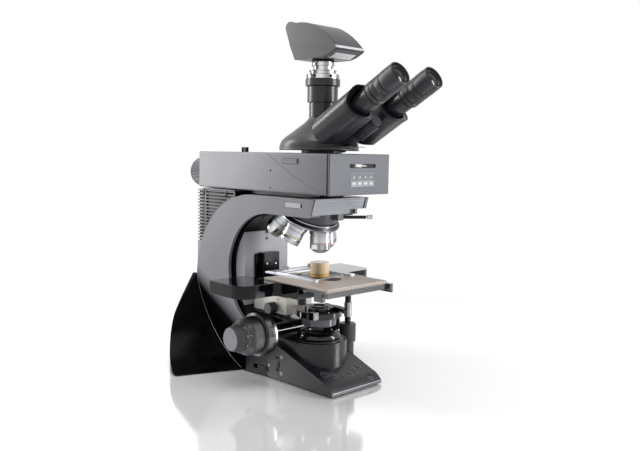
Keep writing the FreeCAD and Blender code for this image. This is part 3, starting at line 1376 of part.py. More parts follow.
def stage_top_plate():
    """Coated top plate with a rolled front lip and a runner in the Y carriage."""
    low = STAGE_Z - TOP_T
    plate = box(TOP_X0, TOP_X1, TOP_Y0, TOP_Y1, low, STAGE_Z)
    lip = box(TOP_X0, TOP_X1, TOP_Y0, TOP_Y0 + 3, STAGE_Z - TOP_LIP_H, STAGE_Z)
    body = fuse(plate, lip)
    body = round_edges(body, 1.6, lambda e: e.BoundBox.YMax < TOP_Y0 + 0.01 and e.BoundBox.XLength > 20)
    insert = box(INSERT_X0 - JOIN, INSERT_X1 + JOIN, INSERT_Y0 - JOIN, INSERT_Y1 + JOIN,
                 STAGE_Z - INSERT_T, STAGE_Z + 1)
    light = rod(V(0, 0, low - 1), Z_AXIS, 12, 10)
    hole = rod(V(STAGE_HOLE_X, STAGE_HOLE_Y, low - 1), Z_AXIS, STAGE_HOLE_R, 10)
    runner = box(TOP_X0 + 28, TOP_X1 - 28, RUNNER_Y - RUNNER_HALF, TOP_Y1 + 5, low - 4.4, low + 1)
    ledge = box(TOP_X0 + 28, TOP_X1 - 28, TOP_Y1 - 6, TOP_Y1 + 5, low, low + 2)
    return fuse(cut(body, insert, light, hole), runner, ledge)


def stage_insert():
    """Black insert under the specimen, with the small light hole closed by the specimen."""
    plate = box(INSERT_X0, INSERT_X1, INSERT_Y0, INSERT_Y1, STAGE_Z - INSERT_T, STAGE_Z - 0.1)
    plate = round_edges(plate, 6.0, lambda e: e.BoundBox.ZLength > 0.5 and e.BoundBox.XLength < 0.1)
    hole = rod(V(0, 0, STAGE_Z - 10), Z_AXIS, 6, 20)
    front = rod(V(STAGE_HOLE_X, STAGE_HOLE_Y, STAGE_Z - 10), Z_AXIS, STAGE_HOLE_R, 20)
    return cut(plate, hole, front)


def specimen_holder():
    """U-shaped bright guide frame on the top plate, with its two clamp screws."""
    low = STAGE_Z
    high = STAGE_Z + HOLDER_Z_T
    left = box(HOLDER_ARM_X0, HOLDER_ARM_X1, HOLDER_ARM_Y0, HOLDER_BAR_Y1, low, high)
    bar = box(HOLDER_ARM_X0, HOLDER_RIGHT_X1, HOLDER_BAR_Y0, HOLDER_BAR_Y1, low, high)
    right = box(HOLDER_RIGHT_X0, HOLDER_RIGHT_X1, HOLDER_RIGHT_Y0, HOLDER_BAR_Y1, low, high)
    body = fuse(left, bar, right)
    body = round_edges(body, 2.5, lambda e: e.BoundBox.ZLength > 1 and e.BoundBox.XLength < 0.1
                       and e.BoundBox.YMax < 0)
    knobs = []
    for x in (-6, 46):
        knobs.append(rod(V(x, HOLDER_BAR_Y1 - 7, high - 0.5), Z_AXIS, HOLDER_KNOB_R, HOLDER_KNOB_H))
    return fuse(body, *knobs)


def specimen():
    body = rod(V(0, 0, STAGE_Z), Z_AXIS, SPECIMEN_R, SPECIMEN_H)
    rim = [e for e in body.Edges if e.BoundBox.ZMin > STAGE_Z + 1 and e.BoundBox.ZLength < 0.1]
    return body.makeChamfer(0.6, rim)


def xy_post():
    """Hanging drive post: housing under the wing, sleeve and lower neck."""
    bore = POST_SHAFT_R + RUN
    post = turned(V(POST_X, POST_Y, 0), Z_AXIS, [
        (bore, Y_KNOB_Z1 + SLIDE), (POST_CORE_R, Y_KNOB_Z1 + SLIDE), (POST_CORE_R, POST_SLEEVE_Z0),
        (POST_SLEEVE_R, POST_SLEEVE_Z0 + 0.5), (POST_SLEEVE_R, POST_SLEEVE_Z1 - 0.5),
        (POST_CORE_R, POST_SLEEVE_Z1), (POST_CORE_R, STAGE_LOW_Z - 8), (11, STAGE_LOW_Z - 7),
        (11, STAGE_LOW_Z), (POST_CORE_R - RUN, STAGE_LOW_Z), (POST_CORE_R - RUN, STAGE_LOW_Z + 6),
        (bore, STAGE_LOW_Z + 6),
    ])
    return post


def y_knob():
    centre = V(POST_X, POST_Y, 0)
    return turned(centre, Z_AXIS, [
        (POST_SHAFT_R + RUN, Y_KNOB_Z0), (Y_KNOB_R - 0.8, Y_KNOB_Z0), (Y_KNOB_R, Y_KNOB_Z0 + 0.8),
        (Y_KNOB_R, Y_KNOB_Z1 - 1), (Y_KNOB_R - 1, Y_KNOB_Z1), (POST_SHAFT_R + RUN, Y_KNOB_Z1),
    ])


def x_knob():
    centre = V(POST_X, POST_Y, 0)
    top = Y_KNOB_Z0 - SLIDE
    knob = turned(centre, Z_AXIS, [
        (0, X_KNOB_Z0), (X_KNOB_R - 1, X_KNOB_Z0), (X_KNOB_R, X_KNOB_Z0 + 1), (X_KNOB_R, top - 0.8),
        (X_KNOB_R - 0.8, top), (POST_SHAFT_R, top), (POST_SHAFT_R, STAGE_LOW_Z), (0, STAGE_LOW_Z),
    ])
    return knob


# Focus drive

def focus_housing():
    """Cross tube of the focus shaft, with the gear block that bolts to the column."""
    left = V(-KNOB_INNER_X + SLIDE, FOCUS_Y, FOCUS_Z)
    length = KNOB_INNER_X + RIGHT_INNER_X - 2 * SLIDE
    tube = rod(left, X_AXIS, FOCUS_TUBE_R, length)
    block = box(-FOCUS_BLOCK_HALF, FOCUS_BLOCK_HALF, FOCUS_Y, THROAT_Y + 48, FOCUS_Z - 11, FOCUS_BLOCK_TOP_Z)
    wide = PANEL_OUT + 20
    throat = ring(V(-wide, THROAT_Y, THROAT_Z), X_AXIS, 2 * THROAT_R, THROAT_R - 1.5 - JOIN, 2 * wide)
    start = throat_points(THROAT_R - 1.5)[0]
    behind = box(-wide, wide, start[0] - JOIN, BACK_Y, 0, start[1] + 0.5)
    bore = rod(left - X_AXIS, X_AXIS, FOCUS_SHAFT_R + RUN, length + 2)
    deck = base_body(-JOIN, FOOT_H)
    return cut(fuse(tube, block), throat, behind, bore, deck)


def focus_shaft():
    """Through shaft with the flat right-hand knob on its end."""
    left = V(-COARSE_X + 6, FOCUS_Y, FOCUS_Z)
    shaft = rod(left, X_AXIS, FOCUS_SHAFT_R, RIGHT_INNER_X + SLIDE - left.x)
    knob = turned(V(RIGHT_INNER_X, FOCUS_Y, FOCUS_Z), X_AXIS, [
        (0, 0), (RIGHT_KNOB_R - 1, 0), (RIGHT_KNOB_R, 1), (RIGHT_KNOB_R, RIGHT_KNOB_T - 1.5),
        (RIGHT_KNOB_R - 1.5, RIGHT_KNOB_T), (0, RIGHT_KNOB_T),
    ])
    return fuse(shaft, knob)


def left_stack(profile):
    """Turn a (radius, distance from the middle plane) profile about the focus axis, to the left."""
    return turned(V(0, FOCUS_Y, FOCUS_Z), -X_AXIS, profile)


def torque_ring():
    bore = FOCUS_SHAFT_R + 3
    return left_stack([
        (bore, KNOB_INNER_X), (CHROME_R, KNOB_INNER_X), (CHROME_R, CHROME_X), (TORQUE_R, CHROME_X + 0.5),
        (TORQUE_R, CHROME_X + 5), (TORQUE_R - 1, CHROME_X + 5.8), (TORQUE_R - 1, CHROME_X + 6.6),
        (TORQUE_R, CHROME_X + 7.4), (TORQUE_R - 0.3, TORQUE_X - 2), (COARSE_R + 1.5, TORQUE_X),
        (bore, TORQUE_X),
    ])


def coarse_knob():
    bore = FOCUS_SHAFT_R + RUN
    low = TORQUE_X + JOIN
    return left_stack([
        (bore, KNOB_INNER_X + 1), (bore + 2.5, KNOB_INNER_X + 1), (bore + 2.5, low), (COARSE_R - 0.4, low),
        (COARSE_R, low + 0.6), (COARSE_R, COARSE_X - 0.6), (COARSE_R - 0.6, COARSE_X),
        (INDEX_R, COARSE_X + 0.6), (INDEX_R - 0.6, COARSE_X + 1.4),
        (FINE_RING_R + 0.5, INDEX_X), (6, INDEX_X), (6, COARSE_X - 4), (bore, COARSE_X - 4),
    ])


def fine_knob():
    low = INDEX_X + JOIN
    return left_stack([
        (0, COARSE_X - 3), (6 - RUN, COARSE_X - 3), (6 - RUN, low), (FINE_RING_R, low),
        (FINE_RING_R - 1.8, FINE_RING_X), (FINE_RING_R - 2.6, FINE_RING_X + 0.2),
        (FINE_FACE_R + 0.3, FINE_FACE_X - 1.2),
        (FINE_FACE_R - 0.8, FINE_FACE_X), (0, FINE_FACE_X),
    ])


# Condenser

def condenser_bracket():
    """Cream bracket: two cheeks and a back plate on the carriage, open below the stage arm."""
    top = min(COND_TOP_Z, STAGE_LOW_Z - CARRIER_ARM_T - SLIDE)
    back = FRONT_PLATE_Y - 2 - SLIDE
    block = box(-COND_HALF, COND_HALF, COND_FRONT_Y, back, COND_LOW_Z, top)
    inner_half = COND_HALF - COND_WALL
    inner = box(-inner_half, inner_half, COND_FRONT_Y + COND_WALL, back - 10, COND_LOW_Z - 1, top + 1)
    axle = rod(V(-COND_HALF - 1, COND_KNOB_Y, COND_KNOB_Z), X_AXIS, AXLE_R + RUN, COND_WALL + 2)
    screws = []
    for y, z in COND_SCREWS:
        screws.append(rod(V(-COND_HALF - 1, y, z), X_AXIS, COND_SCREW_R, 4))
    ring_room = rod(V(0, 0, 60), Z_AXIS, COND_RING_R + JOIN, 120)
    arm = prism("xy", COND_RING_Z0, COND_RING_Z1, (-12, 20), [
        (12, 20),
        (18, COND_FRONT_Y + 2),
        (-18, COND_FRONT_Y + 2),
    ])
    return fuse(cut(block, inner, axle, ring_room, *screws), cut(arm, ring_room))


def condenser_knob():
    hub = V(-COND_HALF - SLIDE, COND_KNOB_Y, COND_KNOB_Z)
    knob = turned(hub, -X_AXIS, [
        (0, 0), (6, 0), (6, 1.5), (COND_KNOB_R, 2.5), (COND_KNOB_R, COND_KNOB_LEN - 1),
        (COND_KNOB_R - 1, COND_KNOB_LEN), (0, COND_KNOB_LEN),
    ])
    axle = rod(hub, X_AXIS, AXLE_R, COND_WALL + 3)
    return fuse(knob, axle)


def condenser():
    """Condenser: a barrel in its clamp ring, with the top lens mount and the clamp block."""
    body = turned(V(0, 0, 0), Z_AXIS, [
        (0, COND_BARREL_Z), (COND_BARREL_R - 1.5, COND_BARREL_Z), (COND_BARREL_R, COND_BARREL_Z + 1.5),
        (COND_BARREL_R, COND_RING_Z0), (COND_RING_R - 1, COND_RING_Z0), (COND_RING_R, COND_RING_Z0 + 1),
        (COND_RING_R, COND_RING_Z1 - 1), (COND_RING_R - 1, COND_RING_Z1), (COND_BODY_R, COND_RING_Z1),
        (COND_BODY_R, COND_LENS_Z - 1), (COND_BODY_R - 1, COND_LENS_Z), (COND_LENS_R, COND_LENS_Z),
        (COND_LENS_R - 1, COND_LENS_Z - 1.5), (0, COND_LENS_Z - 1.5),
    ])
    clamp = box(CLAMP_X - CLAMP_HALF, CLAMP_X + CLAMP_HALF, CLAMP_Y - CLAMP_HALF, CLAMP_Y + CLAMP_HALF,
                COND_RING_Z0 + 1, CLAMP_TOP_Z)
    return fuse(body, clamp)


def condenser_lever():
    """Lever that turns about the top mount and curves forward to its rounded tip."""
    hub_z = COND_RING_Z1 + JOIN
    hub = ring(V(0, 0, hub_z), Z_AXIS, LEVER_HUB_R, COND_BODY_R + RUN, LEVER_Z1 - hub_z)
    arm = prism("xy", LEVER_Z0, LEVER_Z1, (19, 9), [
        ((27, -18), (LEVER_TIP_X + LEVER_TIP_R, LEVER_TIP_Y)),
        (LEVER_TIP_X - LEVER_TIP_R, LEVER_TIP_Y),
        ((15, -25), (14, -13)),
    ])
    arm = cut(arm, rod(V(0, 0, hub_z), Z_AXIS, COND_BODY_R + 2, 10))
    tip = rod(V(LEVER_TIP_X, LEVER_TIP_Y, LEVER_Z0 - 0.2), Z_AXIS, LEVER_TIP_R, LEVER_Z1 - LEVER_Z0 + 1.5)
    return fuse(hub, arm, tip)


# Sliders in the side slots

def slot_slider(y0, y1, z0, z1, face_x):
    """Slider with a grip pocket in its face, at the end towards the user."""
    body = box(-face_x, -face_x + SLIDER_BODY - 4, y0, y1, z0, z1)
    pocket = box(-face_x - 1, -face_x + 6, y0 + 1.2, y0 + 5.5, z0 + 0.8, z1 - 0.8)
    window = box(-face_x + 24, -face_x + 46, y0 + 8, y1 - 8, z0 - 1, z1 + 1)
    return cut(body, pocket, window)


def build():
    """Every node by name, each a list of solids."""
    parts = {
        "base_housing": [base_housing()],
        "base_plate": [base_plate()],
        "rubber_feet": rubber_feet(),
        "rear_wings": rear_wings(),
        "column_frame": [column_frame()],
        "side_panels": side_panels(),
        "heat_sink": [heat_sink()],
        "column_front_plate": [column_front_plate()],
        "nosepiece_holder": [nosepiece_holder()],
        "illuminator_rear_cover": [illuminator_rear_cover()],
        "illuminator_front_cover": [illuminator_front_cover()],
        "illuminator_front_panel": [illuminator_front_panel()],
        "lamp_housing": [lamp_housing()],
        "lenses": lenses(),
        "head_body": [head_body()],
        "photo_tube": [photo_tube()],
        "camera_mount": [camera_mount()],
        "camera_body": [camera_body()],
        "focus_housing": [focus_housing()],
        "upper_slider": [slot_slider(BOX_SLOT_Y0, BOX_SLOT_Y1, BOX_SLOT_Z0, BOX_SLOT_Z1, BOX_HALF)],
        "lower_slider": [slot_slider(ARM_SLOT_Y0, ARM_SLOT_Y1, ARM_SLOT_Z0, ARM_SLOT_Z1, PANEL_OUT)],
        "nose_slider": [nose_slider()],
        "turret": [turret()],
        "pod_left": [pod(HUB_FRONT_S + 4)],
        "pod_right": [mirror_x(pod(HUB_FRONT_S + 5 + KNUCKLE_LEN))],
        "eyepiece_left": [eyepiece()],
        "eyepiece_right": [mirror_x(eyepiece())],
        "stage_carrier": [stage_carrier()],
        "stage_lower_plate": [stage_lower_plate()],
        "stage_middle_plate": [stage_middle_plate()],
        "stage_top_plate": [stage_top_plate()],
        "stage_insert": [stage_insert()],
        "specimen_holder": [specimen_holder()],
        "specimen": [specimen()],
        "xy_post": [xy_post()],
        "y_knob": [y_knob()],
        "x_knob": [x_knob()],
        "focus_shaft": [focus_shaft()],
        "torque_ring": [torque_ring()],
        "coarse_knob": [coarse_knob()],
        "fine_knob": [fine_knob()],
        "condenser_bracket": [condenser_bracket()],
        "condenser_knob": [condenser_knob()],
        "condenser": [condenser()],
        "condenser_lever": [condenser_lever()],
        "field_ring": [field_ring()],
        "brightness_wheel": [brightness_wheel()],
        "intensity_wheel": [intensity_wheel()],
    }
    for name in OBJECTIVES:
        parts[name] = [objective(name)]
    for i, (x, y) in enumerate(key_places()):
        parts[f"key_{i + 1}"] = [key(x, y)]
    return parts


def depth_centre():
    """Middle of the object's depth: lamp end behind, lower rim of the eyecups in front."""
    angle = math.radians(EYE_DEG)
    lowest = max(r * math.sin(angle) - d * math.cos(angle) for r, d in eyepiece_profile())
    return 0.5 * (EYE_RIM_Y - lowest + LAMP_END_Y)


def main():
    """Move the whole object so that its origin is the middle of its footprint box, and write it."""
    os.makedirs("parts", exist_ok=True)
    shift = V(0, -depth_centre(), 0)
    for name, solids in build().items():
        moved = [s.translated(shift) for s in solids]
        shape = moved[0] if len(moved) == 1 else Part.makeCompound(moved)
        shape.exportStep(f"parts/{name}.step")
        print(name, len(shape.Solids), round(shape.Volume), shape.isValid())
    print("optical axis at Y =", round(-depth_centre(), 3))


if __name__ == "__main__":
    main()
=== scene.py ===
import bpy
import math
from mathutils import Matrix, Vector


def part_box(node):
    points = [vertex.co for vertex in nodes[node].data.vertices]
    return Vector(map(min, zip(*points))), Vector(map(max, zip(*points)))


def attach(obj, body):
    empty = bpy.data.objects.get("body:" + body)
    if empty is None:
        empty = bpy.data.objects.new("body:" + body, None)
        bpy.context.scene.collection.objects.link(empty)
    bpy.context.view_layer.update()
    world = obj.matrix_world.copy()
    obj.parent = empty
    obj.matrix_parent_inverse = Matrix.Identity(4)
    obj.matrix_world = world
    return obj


# Materials microscope, put together from the foot to the camera on its photo tube. Sizes are in
# millimetres from the optical axis, with the bench at zero.

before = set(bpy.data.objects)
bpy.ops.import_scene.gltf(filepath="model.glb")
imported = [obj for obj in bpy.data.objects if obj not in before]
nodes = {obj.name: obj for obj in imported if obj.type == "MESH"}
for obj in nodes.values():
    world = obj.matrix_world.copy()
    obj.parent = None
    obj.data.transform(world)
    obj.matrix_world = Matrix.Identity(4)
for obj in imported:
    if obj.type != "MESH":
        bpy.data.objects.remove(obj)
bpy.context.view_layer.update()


# View: a long lens left in front of the microscope, soft lamps from above and both sides, and a pale
# glossy bench that runs out into a white background. spot() turns millimetres into the frame's metres.

specimen_low, specimen_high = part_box("specimen")
AXIS_Y = (specimen_low.y + specimen_high.y) / 2
LENS_LENGTH, SENSOR_WIDTH = 41.805, 36
CAMERA_X, CAMERA_Y, CAMERA_HEIGHT = -806.3, -828.3, 360.4
CAMERA_HEADING, CAMERA_DIP, CAMERA_ROLL = -44.19, 5.70, 0.93
LAMP_AIM_HEIGHT = 250
AMBIENT = 0.22
BENCH_RADIUS, BENCH_GAP = 14, 0.0002
FADE_START, FADE_END = 0.36, 0.8


def spot(x, y, z):
    return Vector((x / 1000, y / 1000 + AXIS_Y, z / 1000))


def soft_lamp(name, place, size, watts):
    """A rectangular lamp, size in metres, turned to the middle of the microscope."""
    data = bpy.data.lights.new(name, "AREA")
    data.shape = "RECTANGLE"
    data.size, data.size_y = size
    data.energy = watts
    lamp = bpy.data.objects.new(name, data)
    bpy.context.scene.collection.objects.link(lamp)
    here = spot(*place)
    towards = spot(0, 0, LAMP_AIM_HEIGHT) - here
    lamp.matrix_world = Matrix.Translation(here) @ towards.to_track_quat("-Z", "Y").to_matrix().to_4x4()
    lamp.visible_camera = False


lens = bpy.data.cameras.new("camera")
lens.lens = LENS_LENGTH
lens.sensor_width = SENSOR_WIDTH
camera = bpy.data.objects.new("camera", lens)
bpy.context.scene.collection.objects.link(camera)
camera.matrix_world = (
    Matrix.Translation(spot(CAMERA_X, CAMERA_Y, CAMERA_HEIGHT))
    @ Matrix.Rotation(math.radians(CAMERA_HEADING), 4, "Z")
    @ Matrix.Rotation(math.radians(90 - CAMERA_DIP), 4, "X")
    @ Matrix.Rotation(math.radians(CAMERA_ROLL), 4, "Z")
)
bpy.context.scene.camera = camera
bpy.context.scene.view_settings.view_transform = "Standard"

soft_lamp("lamp_left", (-560, 960, 640), (0.3, 1.1), 13)
soft_lamp("lamp_right", (950, -1150, 600), (0.3, 1.3), 22)
soft_lamp("lamp_top", (-250, -150, 1900), (0.9, 1.3), 19)


class Wire:
    """A shader socket: a sum written on it adds the Math nodes."""

    def __init__(self, graph, socket):
        self.graph = graph
        self.socket = socket

    def maths(self, operation, *terms):
        return self.graph.add("ShaderNodeMath", {"operation": operation}, dict(enumerate(terms)))

    def __add__(self, other):
        return self.maths("ADD", self, other)

    def __sub__(self, other):
        return self.maths("SUBTRACT", self, other)

    def __rsub__(self, other):
        return self.maths("SUBTRACT", other, self)

    def __mul__(self, other):
        return self.maths("MULTIPLY", self, other)

    def __gt__(self, other):
        return self.maths("GREATER_THAN", self, other)

    def __lt__(self, other):
        return self.maths("LESS_THAN", self, other)

    __radd__ = __add__
    __rmul__ = __mul__


class Graph:
    """A node tree. add() makes a node, sets it up, then fills its sockets with numbers or links."""

    def __init__(self, tree):
        self.tree = tree

    def add(self, kind, settings=None, sockets=None, output=0):
        node = self.tree.nodes.new(kind)
        for name, value in (settings or {}).items():
            setattr(node, name, value)
        for name, value in (sockets or {}).items():
            self.fill(self.pick(node.inputs, name), value)
        return Wire(self, self.pick(node.outputs, output))

    def pick(self, sockets, name):
        if isinstance(name, int):
            return sockets[name]
        return next(s for s in sockets if s.name == name and s.enabled)

    def fill(self, socket, value):
        if isinstance(value, Wire):
            self.tree.links.new(value.socket, socket)
        else:
            socket.default_value = value


def seen_directly(graph):
    """1 for camera, glossy and transmission rays, which see the white surroundings."""
    camera_ray = graph.add("ShaderNodeLightPath", output="Is Camera Ray")
    rays = camera_ray.socket.node.outputs
    total = camera_ray + Wire(graph, rays["Is Glossy Ray"]) + Wire(graph, rays["Is Transmission Ray"])
    return total.maths("MINIMUM", total, 1.0)


world = bpy.data.worlds.new("studio")
world.use_nodes = True
bpy.context.scene.world = world
sky = Graph(world.node_tree)
sky_sockets = world.node_tree.nodes["Background"].inputs
sky.fill(sky_sockets["Color"], (1, 1, 1, 1))
sky.fill(sky_sockets["Strength"], seen_directly(sky) * (1 - AMBIENT) + AMBIENT)


class Finish(Graph):
    """A surface: base colour, roughness and relief, all worked out from Object coordinates."""

    def __init__(self, name, colour, rough, metal=0.0, **fixed):
        self.material = bpy.data.materials.new(name)
        self.material.use_nodes = True
        super().__init__(self.material.node_tree)
        self.shader = self.tree.nodes["Principled BSDF"]
        self.place = self.add("ShaderNodeTexCoord", output="Object")
        self.set(**{"Base Color": colour, "Roughness": rough, "Metallic": metal}, **fixed)
        self.colour = colour
        self.rough = rough
        self.normal = None

    def set(self, **sockets):
        for name, value in sockets.items():
            self.fill(self.shader.inputs[name.replace("_", " ")], value)

    def noise(self, scale, detail=2.0, vector=None):
        return self.add("ShaderNodeTexNoise", {}, {
            "Vector": vector or self.place, "Scale": scale, "Detail": detail, "Roughness": 0.5}, "Fac")

    def spread(self, value, low, high, to_low=0.0, to_high=1.0):
        return self.add("ShaderNodeMapRange", {}, {
            "Value": value, "From Min": low, "From Max": high, "To Min": to_low, "To Max": to_high})

    def blend(self, factor, first, second):
        return self.add("ShaderNodeMix", {"data_type": "RGBA"}, {
            "Factor": factor, "A": first, "B": second}, "Result")

    def shade(self, factor, other):
        """Mix the colour towards another where the factor is 1."""
        self.colour = self.blend(factor, self.colour, other)
        self.set(**{"Base Color": self.colour})

    def roughen(self, change):
        self.rough = self.rough + change if isinstance(self.rough, Wire) else change + self.rough
        self.set(Roughness=self.rough)

    def soft_edges(self, radius):
        """Round every sharp edge a little in the light."""
        self.normal = self.add("ShaderNodeBevel", {"samples": 6}, {"Radius": radius / 1000})
        self.set(Normal=self.normal)

    def relief(self, height, depth, strength=1.0):
        """Raise the surface by a height pattern; depth is in millimetres."""
        sockets = {"Height": height, "Distance": depth / 1000, "Strength": strength}
        if self.normal:
            sockets["Normal"] = self.normal
        self.normal = self.add("ShaderNodeBump", {}, sockets)
        self.set(Normal=self.normal)

    def become(self, factor, colour, rough, level):
        """Turn into a second, smooth surface where the factor is 1."""
        second = self.add("ShaderNodeBsdfPrincipled", {}, {
            "Base Color": colour, "Roughness": rough, "Specular IOR Level": level}, "BSDF")
        both = self.add("ShaderNodeMixShader", {}, {
            0: factor, 1: Wire(self, self.shader.outputs[0]), 2: second})
        self.fill(self.tree.nodes["Material Output"].inputs["Surface"], both)

    def parts(self, vector):
        """The three numbers of a vector."""
        node = self.add("ShaderNodeSeparateXYZ", {}, {0: vector}).socket.node
        return [Wire(self, socket) for socket in node.outputs]

    def coordinates(self):
        """The three coordinates of a place, in millimetres from the optical axis and the bench."""
        x, y, z = self.parts(self.place)
        return x * 1000, (y - AXIS_Y) * 1000, z * 1000

    def about(self, base, axis):
        """Distance along an axis through base, radius from it (both in mm) and angle round it."""
        turn = Vector(axis).to_track_quat("Z", "X").inverted().to_euler()
        moved = self.add("ShaderNodeVectorMath", {"operation": "SUBTRACT"}, {
            0: self.place, 1: tuple(base)}, "Vector")
        local = self.add("ShaderNodeVectorRotate", {"rotation_type": "EULER_XYZ"}, {
            "Vector": moved, "Rotation": tuple(turn)}, "Vector")
        x, y, z = self.parts(local)
        radius = x.maths("SQRT", x * x + y * y)
        return z * 1000, radius * 1000, x.maths("ARCTAN2", y, x)


bpy.ops.object.select_all(action="DESELECT")
bpy.ops.mesh.primitive_circle_add(
    vertices=128, radius=BENCH_RADIUS, fill_type="NGON", location=(0, 0, -BENCH_GAP))
bench = bpy.context.object
bench.name = "bench"
bench_top = Finish("bench_top", (0.96, 0.96, 0.97, 1), 0.09, metal=0.42)
bench_top.shade(bench_top.spread(bench_top.noise(3.0, 2.0), 0.4, 0.6, 0.0, 0.3), (0.94, 0.94, 0.955, 1))
from_middle = bench_top.add("ShaderNodeVectorMath", {"operation": "LENGTH"}, {0: bench_top.place}, "Value")
fade = bench_top.spread(from_middle, FADE_START, FADE_END) * seen_directly(bench_top)
white = bench_top.add("ShaderNodeEmission", {}, {"Color": (1, 1, 1, 1), "Strength": 1.0}, "Emission")
bench_mix = bench_top.add("ShaderNodeMixShader", {}, {
    0: fade, 1: Wire(bench_top, bench_top.shader.outputs[0]), 2: white})
bench_top.fill(bench_top.tree.nodes["Material Output"].inputs["Surface"], bench_mix)
bench.data.materials.append(bench_top.material)


# Base: a die-cast housing in satin black with a sloping key panel and the tower of the light port,
# closed below by a screwed plate on four rubber feet. Key rings and scale marks are printed.

# The key panel rises by PANEL_RISE over PANEL_RUN; six keys stand on an arc about the light port.
PANEL_FOOT_Y, PANEL_FOOT_Z = -66, 19.3
PANEL_RUN, PANEL_RISE = 96, 34.7
SLOPE_UP = (0, -PANEL_RISE, PANEL_RUN)
KEY_CIRCLE, KEY_STEP = 62, math.radians(14)
FIGURE_LIFT = 0.66
EXTRA_KEY_X, EXTRA_KEY_Y, EXTRA_KEY_SINK = 35.5, -78, 1.98
OUT_LEFT, TO_FRONT = (-1, 0, 0), (0, -1, 0)
WHEEL_MARK_Z = (39.2, 12.8)


def tint(red, green, blue):
    """An on-screen colour of 0 to 255 as the shader's linear colour."""
    screen = (red / 255, green / 255, blue / 255)
    return (*(c / 12.92 if c <= 0.04045 else ((c + 0.055) / 1.055) ** 2.4 for c in screen), 1)


def varied(tone, amount):
    """A lighter or, with a minus, darker shade of a colour."""
    return (*(c + (1 - c) * amount if amount > 0 else c * (1 + amount) for c in tone[:3]), 1)


def painted(name, colour, rough, grain=0.35, depth=0.02, edge=0.5, **fixed):
    """Textured paint: a fine pebbled grain, faint cloudy shade and softened edges."""
    made = Finish(name, colour, rough, **fixed)
    made.soft_edges(edge)
    pebble = made.noise(1000 / grain, 2.0)
    cloud = made.noise(11.0, 3.0)
    made.shade(made.spread(pebble, 0.35, 0.75, 0.0, 0.5), varied(colour, 0.05))
    made.shade(made.spread(cloud, 0.35, 0.7, 0.0, 0.5), varied(colour, -0.07))
    made.roughen(made.spread(cloud, 0.3, 0.7, -0.02, 0.03))
    made.relief(pebble, depth)
    return made


def moulded(name, colour, rough, grain=0.9, depth=0.012, edge=0.4, **fixed):
    """Moulded plastic or smooth coating: nearly plain, with faint handling marks in the gloss."""
    made = Finish(name, colour, rough, **fixed)
    made.soft_edges(edge)
    haze = made.noise(30.0, 3.0)
    fine = made.noise(1000 / grain, 2.0)
    made.shade(made.spread(haze, 0.4, 0.75, 0.0, 0.4), varied(colour, 0.012))
    made.roughen(made.spread(haze, 0.35, 0.7, -0.015, 0.025))
    made.relief(fine, depth, 0.5)
    return made


def dress(made, *names):
    """Give CAD nodes their finish."""
    for name in names:
        for place in nodes[name].material_slots:
            place.material = made.material


black_shell = moulded("black_shell", tint(13, 15, 20), 0.3, grain=0.5, depth=0.004, Specular_IOR_Level=0.42)
bottom_steel = moulded("bottom_steel", tint(30, 30, 32), 0.5)
foot_rubber = painted("foot_rubber", tint(14, 14, 14), 0.85, grain=0.6)
white_print = moulded("white_print", tint(205, 206, 208), 0.5, edge=0.05)
grey_print = moulded("grey_print", tint(150, 152, 155), 0.5, edge=0.05)
edge_bright = moulded("edge_bright", tint(120, 124, 130), 0.3, edge=0.1, metal=0.6)
dress(black_shell, "base_housing")
dress(bottom_steel, "base_plate")
dress(foot_rubber, "rubber_feet")


def begin(name):
    """Start a piece as a single point at the origin, in edit mode."""
    bpy.ops.object.select_all(action="DESELECT")
    bpy.ops.mesh.primitive_plane_add(size=0.001)
    piece = bpy.context.object
    piece.name = piece.data.name = name
    bpy.ops.object.mode_set(mode="EDIT")
    bpy.ops.mesh.merge(type="CENTER")
    return piece


def draw(points):
    """Carry the point along a line of points, leaving edges behind it."""
    here = Vector(points[0])
    bpy.ops.transform.translate(value=here)
    for point in points[1:]:
        bpy.ops.mesh.extrude_vertices_move(TRANSFORM_OT_translate={"value": Vector(point) - here})
        here = Vector(point)


def at(x, y, z, up=(0, 0, 1), side=(1, 0, 0)):
    """Place of a piece drawn in millimetres, its own Z along up and its own X towards side."""
    third = Vector(up).normalized()
    second = third.cross(Vector(side)).normalized()
    turn = Matrix((second.cross(third), second, third)).transposed().to_4x4()
    return Matrix.Translation(spot(x, y, z)) @ turn @ Matrix.Scale(0.001, 4)


def settle(piece, place, made, body):
    """Put the drawn piece in its place and give it its finish and its body."""
    bpy.ops.object.mode_set(mode="OBJECT")
    piece.matrix_world = place
    bpy.ops.object.transform_apply(location=True, rotation=True, scale=True)
    bpy.ops.object.shade_smooth_by_angle(angle=math.radians(35))
    piece.data.materials.clear()
    piece.data.materials.append(made.material)
    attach(piece, body)
    return piece


def bevel(piece, width, segments=2):
    bpy.ops.object.mode_set(mode="OBJECT")
    edge = piece.modifiers.new("edge", "BEVEL")
    edge.width = width
    edge.segments = segments
    edge.limit_method = "ANGLE"
    bpy.ops.object.modifier_apply(modifier="edge")


def turned(name, profile, place, made, body, steps=72):
    """Turn a (radius, distance) profile about the piece's own Z."""
    piece = begin(name)
    draw([(r, 0, d) for r, d in profile])
    bpy.ops.mesh.select_all(action="SELECT")
    bpy.ops.mesh.spin(steps=steps, angle=2 * math.pi, center=(0, 0, 0), axis=(0, 0, 1))
    bpy.ops.mesh.select_all(action="SELECT")
    bpy.ops.mesh.remove_doubles(threshold=0.0005)
    bpy.ops.mesh.normals_make_consistent(inside=False)
    return settle(piece, place, made, body)


def band(name, outer, inner, low, high, place, made, body, soft=0.15, steps=72):
    """A turned ring of rectangular section with softened corners."""
    return turned(name, [
        (inner, low), (outer - soft, low), (outer, low + soft), (outer, high - soft), (outer - soft, high),
        (inner, high), (inner, low)], place, made, body, steps)


